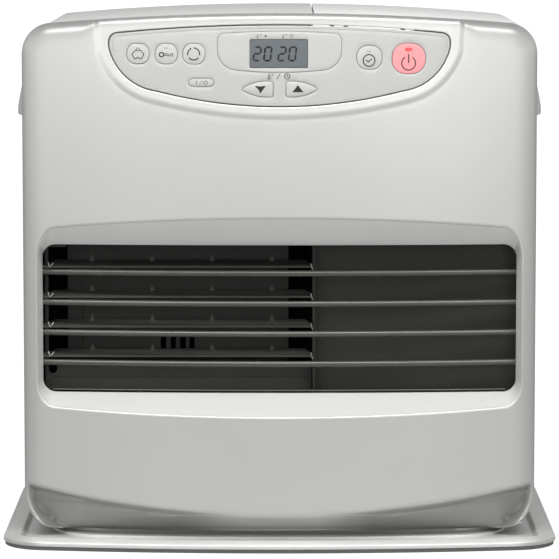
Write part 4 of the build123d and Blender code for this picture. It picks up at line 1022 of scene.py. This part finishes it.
def plan_ring(hw, yf, yb, R, rf, rb, z):
    """Outline seen from above: bowed front, rounded corners, straight sides and back."""
    ac = yf + R
    cx = hw - rf
    cyf = ac - math.sqrt((R - rf) ** 2 - cx * cx)
    th = math.atan2(cyf - ac, cx)
    pts = []
    a_end = th + math.pi / 2
    for i in range(N_ARC):
        a = -math.pi / 2 + a_end * (2 * i / N_ARC - 1)
        pts.append((R * math.cos(a), ac + R * math.sin(a)))
    for i in range(N_COR):
        a = th + (0 - th) * i / N_COR
        pts.append((cx + rf * math.cos(a), cyf + rf * math.sin(a)))
    for i in range(N_SIDE):
        pts.append((hw, cyf + (yb - rb - cyf) * i / N_SIDE))
    for i in range(N_REAR):
        a = math.pi / 2 * i / N_REAR
        pts.append((hw - rb + rb * math.cos(a), yb - rb + rb * math.sin(a)))
    for i in range(N_BACK):
        pts.append((hw - rb - 2 * (hw - rb) * i / N_BACK, yb))
    for i in range(N_REAR):
        a = math.pi / 2 + math.pi / 2 * i / N_REAR
        pts.append((-hw + rb + rb * math.cos(a), yb - rb + rb * math.sin(a)))
    for i in range(N_SIDE):
        pts.append((-hw, yb - rb - (yb - rb - cyf) * i / N_SIDE))
    for i in range(N_COR):
        a = math.pi + (-th) * i / N_COR
        pts.append((-cx + rf * math.cos(a), cyf + rf * math.sin(a)))
    return np.array([(x, y, z) for x, y in pts])


def rim(t, z):
    return plan_ring(227.5 - t, -152.4 + t, 152.5 - t, 1280.0 - t, 38.0 - t, 16.0 - t, z)


def well(t, z):
    return plan_ring(212.5 - t, -128.6 + t, 140.0 - t, 1300.0, 16.0 - 0.4 * t, 10.0 - 0.4 * t, z)


def pl(hw, yf, sag, r, z):
    return plan_ring(hw, yf, 136.0, (hw * hw + sag * sag) / (2 * sag), r, 2.0, z)


rows = [rim(3.0, 3.8), rim(2.9, 0.5), rim(2.7, 0.25), rim(1.9, 0.2), rim(1.45, 0.4), rim(1.35, 1.0), rim(1.3, 3.1), rim(1.0, 3.45), rim(0.45, 3.6), rim(0.12, 3.75), rim(0.0, 4.1),
        rim(0.0, 5.0), rim(0.05, 5.9)]
for a in np.linspace(10, 90, 7):
    rows.append(rim(1.3 - 1.25 * math.cos(math.radians(a)), 5.92 + 1.25 * math.sin(math.radians(a))))
rows += [rim(2.5, 7.14), rim(3.1, 6.88), rim(3.6, 6.88), rim(4.3, 7.04), rim(7.0, 7.12), rim(10.5, 7.14)]
# the lowest rows, the skirt under the rolled rim, take the dark painted shade
n_skirt = 8
rows += [well(-2.2, 7.2), well(-1.2, 7.12), well(-0.5, 6.8), well(0.0, 6.3), well(1.7, 4.1), well(2.2, 3.65), well(3.0, 3.42), well(4.4, 3.4)]
tray_v = [tuple(p) for r in rows for p in r]
tray_f = strip(rows)
n_r = len(rows[0])
tray_m = [2 if i // n_r < n_skirt else 1 for i in range(len(tray_f))]
# pressed floor, step and plinth
srows = [pl(189.2, -104.9, 16.0, 47.0, 3.4), pl(188.3, -104.0, 16.0, 46.2, 3.55), pl(187.9, -103.6, 16.0, 45.8, 3.9), pl(187.8, -103.5, 16.0, 45.7, 4.7), pl(187.5, -103.2, 16.0, 45.5, 5.15),
         pl(186.9, -102.5, 16.0, 45.0, 5.4), pl(186.9, -86.6, 12.4, 41.0, 5.4), pl(186.2, -84.6, 12.0, 40.2, 5.6), pl(186.0, -84.0, 12.0, 40.0, 6.2), pl(185.9, -83.9, 12.0, 40.0, 8.0),
         pl(185.2, -83.2, 12.0, 39.6, 8.6), pl(120.0, -60.0, 8.0, 30.0, 8.6)]
srows[-1][:, 1] = np.minimum(srows[-1][:, 1], 100.0)
b0 = len(tray_v)
tray_v += [tuple(p) for r in srows for p in r]
tray_f += strip(srows, base=b0)
tray_f.append(tuple(b0 + (len(srows) - 1) * n_r + i for i in range(n_r)))
wb = rows[-1][:, :2]
sb = srows[0][:, :2]
v, f = cdt(ccw(wb), [ccw(sb)], [], 7.0)
b1 = len(tray_v)
tray_v += [(x, y, 3.4) for x, y in v]
tray_f += [tuple(int(i) + b1 for i in t) for t in f]
# underside
urows = [rim(3.0, 3.8), rim(1.9, 4.4), rim(1.6, 5.2), rim(2.6, 5.95), rim(10.5, 6.0), well(-2.4, 6.0), well(-1.6, 5.6), well(0.4, 2.9), well(1.2, 2.3), well(2.6, 2.2), well(60.0, 2.2)]
b2 = len(tray_v)
tray_v += [tuple(p) for r in urows for p in r]
tray_f += strip(urows, base=b2, flip=True)
tray_f.append(tuple(b2 + (len(urows) - 1) * n_r + i for i in reversed(range(n_r))))
tray_m += [1] * (len(tray_f) - len(tray_m))
tray = to_obj("tray_pressing", tray_v, tray_f, [M["tray_paint"], M["tray_top"], M["tray_skirt"]], replaces=("base_tray",),
              face_mat=tray_m, sharp_deg=48)
# painted light and shade in the enamel's base colour: lighter along the front ledge and, lower down, on the floor in
# front of the body; darker along the two sides and the back
co = np.empty(len(tray.data.vertices) * 3)
tray.data.vertices.foreach_get("co", co)
co = co.reshape(-1, 3) / MM
fr_arc = 1280.0 - 152.4 - np.sqrt(np.maximum(1280.0**2 - co[:, 0] ** 2, 0.0))
fwd = ramp((fr_arc + 34.0 - co[:, 1] - 0.0) / 10.0) * ramp((218.0 - np.abs(co[:, 0])) / 26.0)
painted_shading = 0.74 + 0.60 * fwd
fwd2 = ramp((fr_arc + 70.0 - co[:, 1]) / 12.0) * ramp((206.0 - np.abs(co[:, 0])) / 16.0)
painted_shading = np.where(co[:, 2] < 6.6, 0.80 + 0.36 * fwd2, painted_shading)
att = tray.data.attributes.new("painted_shading", "FLOAT", "POINT")
att.data.foreach_set("value", painted_shading.astype(np.float32))

# ------------------------------------------------------------- warm-air outlet
ROD_Z = (222.0, 196.8, 171.8, 146.9)
ROD_Y, ROD_BOW_R = -87.3, 1275.0
VANE_Z = (232.5, 207.5, 182.8, 158.2)


def wire(name, paths, r, mat, replaces=(), sides=20):
    """Round bars along 3-D paths with domed ends."""
    vs, fs = [], []
    for path in paths:
        p = np.array(path, float)
        t = np.gradient(p, axis=0)
        t /= np.linalg.norm(t, axis=1)[:, None]
        cap = np.linspace(0, math.pi / 2, 5)[1:]
        st = [(p[0] - t[0] * r * math.sin(a), t[0], r * math.cos(a)) for a in cap[::-1]]
        st += [(q, d, r) for q, d in zip(p, t)]
        st += [(p[-1] + t[-1] * r * math.sin(a), t[-1], r * math.cos(a)) for a in cap]
        rows = []
        for q, d, rr in st:
            up = np.array([0, 0, 1.0]) if abs(d[2]) < 0.9 else np.array([0, -1.0, 0])
            u = np.cross(d, up)
            u /= np.linalg.norm(u)
            w = np.cross(u, d)
            a = np.linspace(0, 2 * math.pi, sides, endpoint=False)[:, None]
            rows.append(q + max(rr, 0.02) * (np.cos(a) * u + np.sin(a) * w))
        b = len(vs)
        for row in rows:
            vs.extend(map(tuple, row))
        fs += strip(rows, base=b)
        n = len(vs)
        fs.append(tuple(b + i for i in reversed(range(sides))))
        fs.append(tuple(n - sides + i for i in range(sides)))
    return to_obj(name, vs, fs, mat, replaces=replaces)


def sheet(name, outline, y0, y1, mat, holes=(), spacing=7.0, soft=0.3):
    """Flat sheet facing the front with its edges eased."""
    border = ccw(np.array(outline, float))
    hs = [ccw(np.array(h, float)) for h in holes]
    vs, fs = [], []
    v, f = cdt(grow(border, -soft), [grow(h, soft) for h in hs], [], spacing)
    vs += [(x, y0, z) for x, z in v]
    fs += [tuple(int(i) for i in t) for t in f]
    b = len(vs)
    vs += [(x, y1, z) for x, z in v]
    fs += [tuple(int(i) + b for i in reversed(t)) for t in f]
    for c, sgn, fl in [(border, -1, False)] + [(h, 1, True) for h in hs]:
        g = grow(c, sgn * soft)
        rows = [np.stack([q[:, 0], np.full(len(q), y), q[:, 1]], 1) for q, y in ((g, y0), (c, y0 + soft), (c, y1 - soft), (g, y1))]
        b = len(vs)
        for row in rows:
            vs.extend(map(tuple, row))
        fs += strip(rows, flip=fl, base=b)
    return to_obj(name, vs, fs, mat, weld=0.01, sharp_deg=40)


rx = np.linspace(-199.4, 199.4, 110)
wire("guard_rods", [[(x, ROD_Y + ROD_BOW_R - math.sqrt(ROD_BOW_R**2 - x * x), z) for x in rx] for z in ROD_Z], 2.5,
     M["rod_steel"], replaces=("grille_rods",), sides=32)
# bright wire V at the left end of each louvre vane, a painted highlight for the light caught on the vanes' cut edges
edge_glints = []
for z in VANE_Z:
    zf = z - 7.2
    edge_glints.append([(-191.2, -72.6, zf + 4.6), (-190.9, -73.6, zf + 3.6), (-190.0, -73.8, zf + 0.9), (-189.7, -73.8, zf + 0.5),
                  (-189.3, -73.8, zf + 0.9), (-187.3, -73.6, zf + 3.4), (-186.9, -72.6, zf + 3.9)])
wire("vane_edge_glints", edge_glints, 0.42, M["clip"], sides=12)
# bright wire marks at the right end of each vane: painted light where it shows through a notch in the side wall
notch_lights = []
for z in VANE_Z:
    zf = z - 7.2
    notch_lights.append([(26.0, -73.5, zf + 3.4), (26.2, -73.7, zf + 2.4), (26.6, -73.7, zf + 0.6), (27.1, -73.7, zf - 0.6), (27.2, -73.5, zf - 1.4)])
wire("vane_notch_lights", notch_lights, 0.45, M["clip"], sides=12)
# sill plate under the vanes, with its notch and a shallow fold
nt = [(-188.4 + 3.3 * math.cos(a), 139.2 + 3.3 * math.sin(a)) for a in np.linspace(math.pi, 2 * math.pi, 12)]
sheet("outlet_sill", [(-194.8, 121.6), (26.6, 121.6), (26.6, 142.4), (-185.1, 142.4)] + nt[::-1] + [(-191.7, 142.4), (-191.7, 241.0), (-177.0, 241.0), (-177.0, 244.6), (-194.8, 244.6)],
      -59.0, -58.0, M["sill"], spacing=9.0)
wire("sill_fold", [[(x, -59.3, 132.9) for x in np.linspace(-187.5, 24.0, 30)]], 0.45, M["sill"], sides=10)
# rear wall of the outlet with its block of upright slots
slots4 = [[(a, 152.2), (b, 152.2), (b, 163.2), (a, 163.2)] for a, b in ((-99.4, -95.2), (-91.1, -87.0), (-83.2, -78.7), (-75.4, -71.3))]
sheet("outlet_back", [(-177.3, 120.6), (7.5, 120.6), (7.5, 247.4), (-177.3, 247.4)], -33.2, -32.4, M["back_wall"], holes=slots4, spacing=10.0)
# near-black sheet behind the outlet, standing for the shade deep inside it
sheet("duct_shade_sheet", [(-194.2, 120.2), (25.4, 120.2), (25.4, 247.9), (-194.2, 247.9)], -22.4, -21.4, M["soot"], spacing=14.0)
wire("wall_seam", [[(-165.0, -33.3, z) for z in np.linspace(122.0, 216.0, 20)]], 0.35, M["black_sheet"], sides=10)
# lip of the lower frame edge, just above the bottom of the window, paler than the black frame as a painted highlight
# along the edge
lipx = np.linspace(-187.0, 187.0, 60)
wire("frame_lip_glint", [[(x, win_y(x) + 2.6, 124.3) for x in lipx]], 0.55, M["frame_lip_glint"], sides=12)

# ------------------------------------------------------ CAD nodes and their slots
slots = {s["node"]: s["material_slot"] for s in frame["record"]["subparts"]}
for n, o in NODES.items():
    # the outlet duct takes the near-black painted shade
    m = M["soot"] if n == "outlet_duct" else M.get(slots.get(n), M["zinc_sheet"])
    o.data.materials.clear()
    o.data.materials.append(m)
    o if slots.get(n) else None

# the folded corner of the top plate and the head of the left side lean in behind the rounded corner of the front
for n in ("top_plate", "side_panel_left"):
    src = NODES[n]
    v = np.array([src.matrix_world @ q.co for q in src.data.vertices]) / MM
    f = [tuple(p.vertices) for p in src.data.polygons]
    lean = np.where(v[:, 0] < -196.0, ramp((v[:, 2] - 392.0) / 22.0), 0.0) * ramp((-196.0 - v[:, 0]) / 10.0)
    v[:, 0] += 5.2 * lean
    v[:, 2] -= 2.2 * lean
    to_obj(n + "_skin", [tuple(q) for q in v], f, M["silver_paint"], replaces=(n,), smooth=True, weld=0.002, sharp_deg=30)

# ------------------------------------------------------------- stage and camera
me = bpy.data.meshes.new("floor")
me.from_pydata([(-20, -12, 0), (20, -12, 0), (20, 30, 0), (-20, 30, 0)], [], [(0, 1, 2, 3)])
floor = bpy.data.objects.new("floor", me)
bpy.context.scene.collection.objects.link(floor)
k = Nodes("floor_white")
k.t.nodes.remove(k.bsdf)
dif = k.add("ShaderNodeBsdfDiffuse")
dif.inputs["Color"].default_value = (0.5, 0.5, 0.5, 1)
emi = k.add("ShaderNodeEmission")
emi.inputs["Strength"].default_value = 1.2
lp = k.add("ShaderNodeLightPath")
mixs = k.add("ShaderNodeMixShader")
sc_ = k.add("ShaderNodeMath", operation="MULTIPLY")
sc_.inputs[1].default_value = 0.92
k.link(lp, "Is Camera Ray", sc_, 0)
k.link(sc_, "Value", mixs, "Fac")
k.link(dif, "BSDF", mixs, 1)
k.link(emi, "Emission", mixs, 2)
k.link(mixs, "Shader", k.out, "Surface")
me.materials.append(k.m)

world = bpy.data.worlds.new("studio")
bpy.context.scene.world = world
world.use_nodes = True
wt = world.node_tree
bg = wt.nodes["Background"] if "Background" in wt.nodes else wt.nodes.new("ShaderNodeBackground")
bg.inputs["Color"].default_value = (1, 1, 1, 1)
bg.inputs["Strength"].default_value = 0.50


def area(name, loc, target, size, power, size_y=None, color=(1, 1, 1)):
    d = bpy.data.lights.new(name, "AREA")
    d.shape = "RECTANGLE"
    d.size = size
    d.size_y = size_y or size
    d.energy = power
    d.color = color
    o = bpy.data.objects.new(name, d)
    o.location = loc
    o.rotation_euler = (Vector(target) - Vector(loc)).to_track_quat("-Z", "Y").to_euler()
    bpy.context.scene.collection.objects.link(o)
    return o


area("strip_high", (0, -0.62, 0.92), (0, -0.12, 0.36), 1.1, 5.0, 0.22)
area("strip_near", (0, -0.34, 0.74), (0, -0.12, 0.40), 1.1, 3.8, 0.16)
area("front_low", (0, -3.4, 0.35), (0, -0.1, 0.2), 2.4, 1.5, 0.5)
area("front_left", (-1.25, -3.0, 0.9), (0, -0.1, 0.25), 0.6, 3.0, 1.4)
area("front_right", (1.25, -3.0, 0.9), (0, -0.1, 0.25), 0.6, 7.6, 1.4)
area("wide_left", (-2.6, -2.6, 0.9), (0, -0.1, 0.25), 1.2, 1.5, 1.4)
area("wide_right", (2.6, -2.6, 0.9), (0, -0.1, 0.25), 1.2, 1.1, 1.4)
area("far_left", (-2.8, -0.4, 0.9), (0, -0.1, 0.25), 1.2, 1.1, 1.4)

cam = bpy.data.cameras.new("camera")
cam.sensor_width = 36.0
cam.lens = 36.0 * 3700.0 / 559.0
cam.clip_start, cam.clip_end = 0.05, 100.0
cam_o = bpy.data.objects.new("camera", cam)
cam_o.location = (0.0, -3.1114, 0.544)
cam_o.rotation_euler = (math.radians(90 - 6.17), 0, 0)
bpy.context.scene.collection.objects.link(cam_o)
bpy.context.scene.camera = cam_o
bpy.context.scene.view_settings.view_transform = "Standard"
bpy.context.scene.view_settings.look = "None"
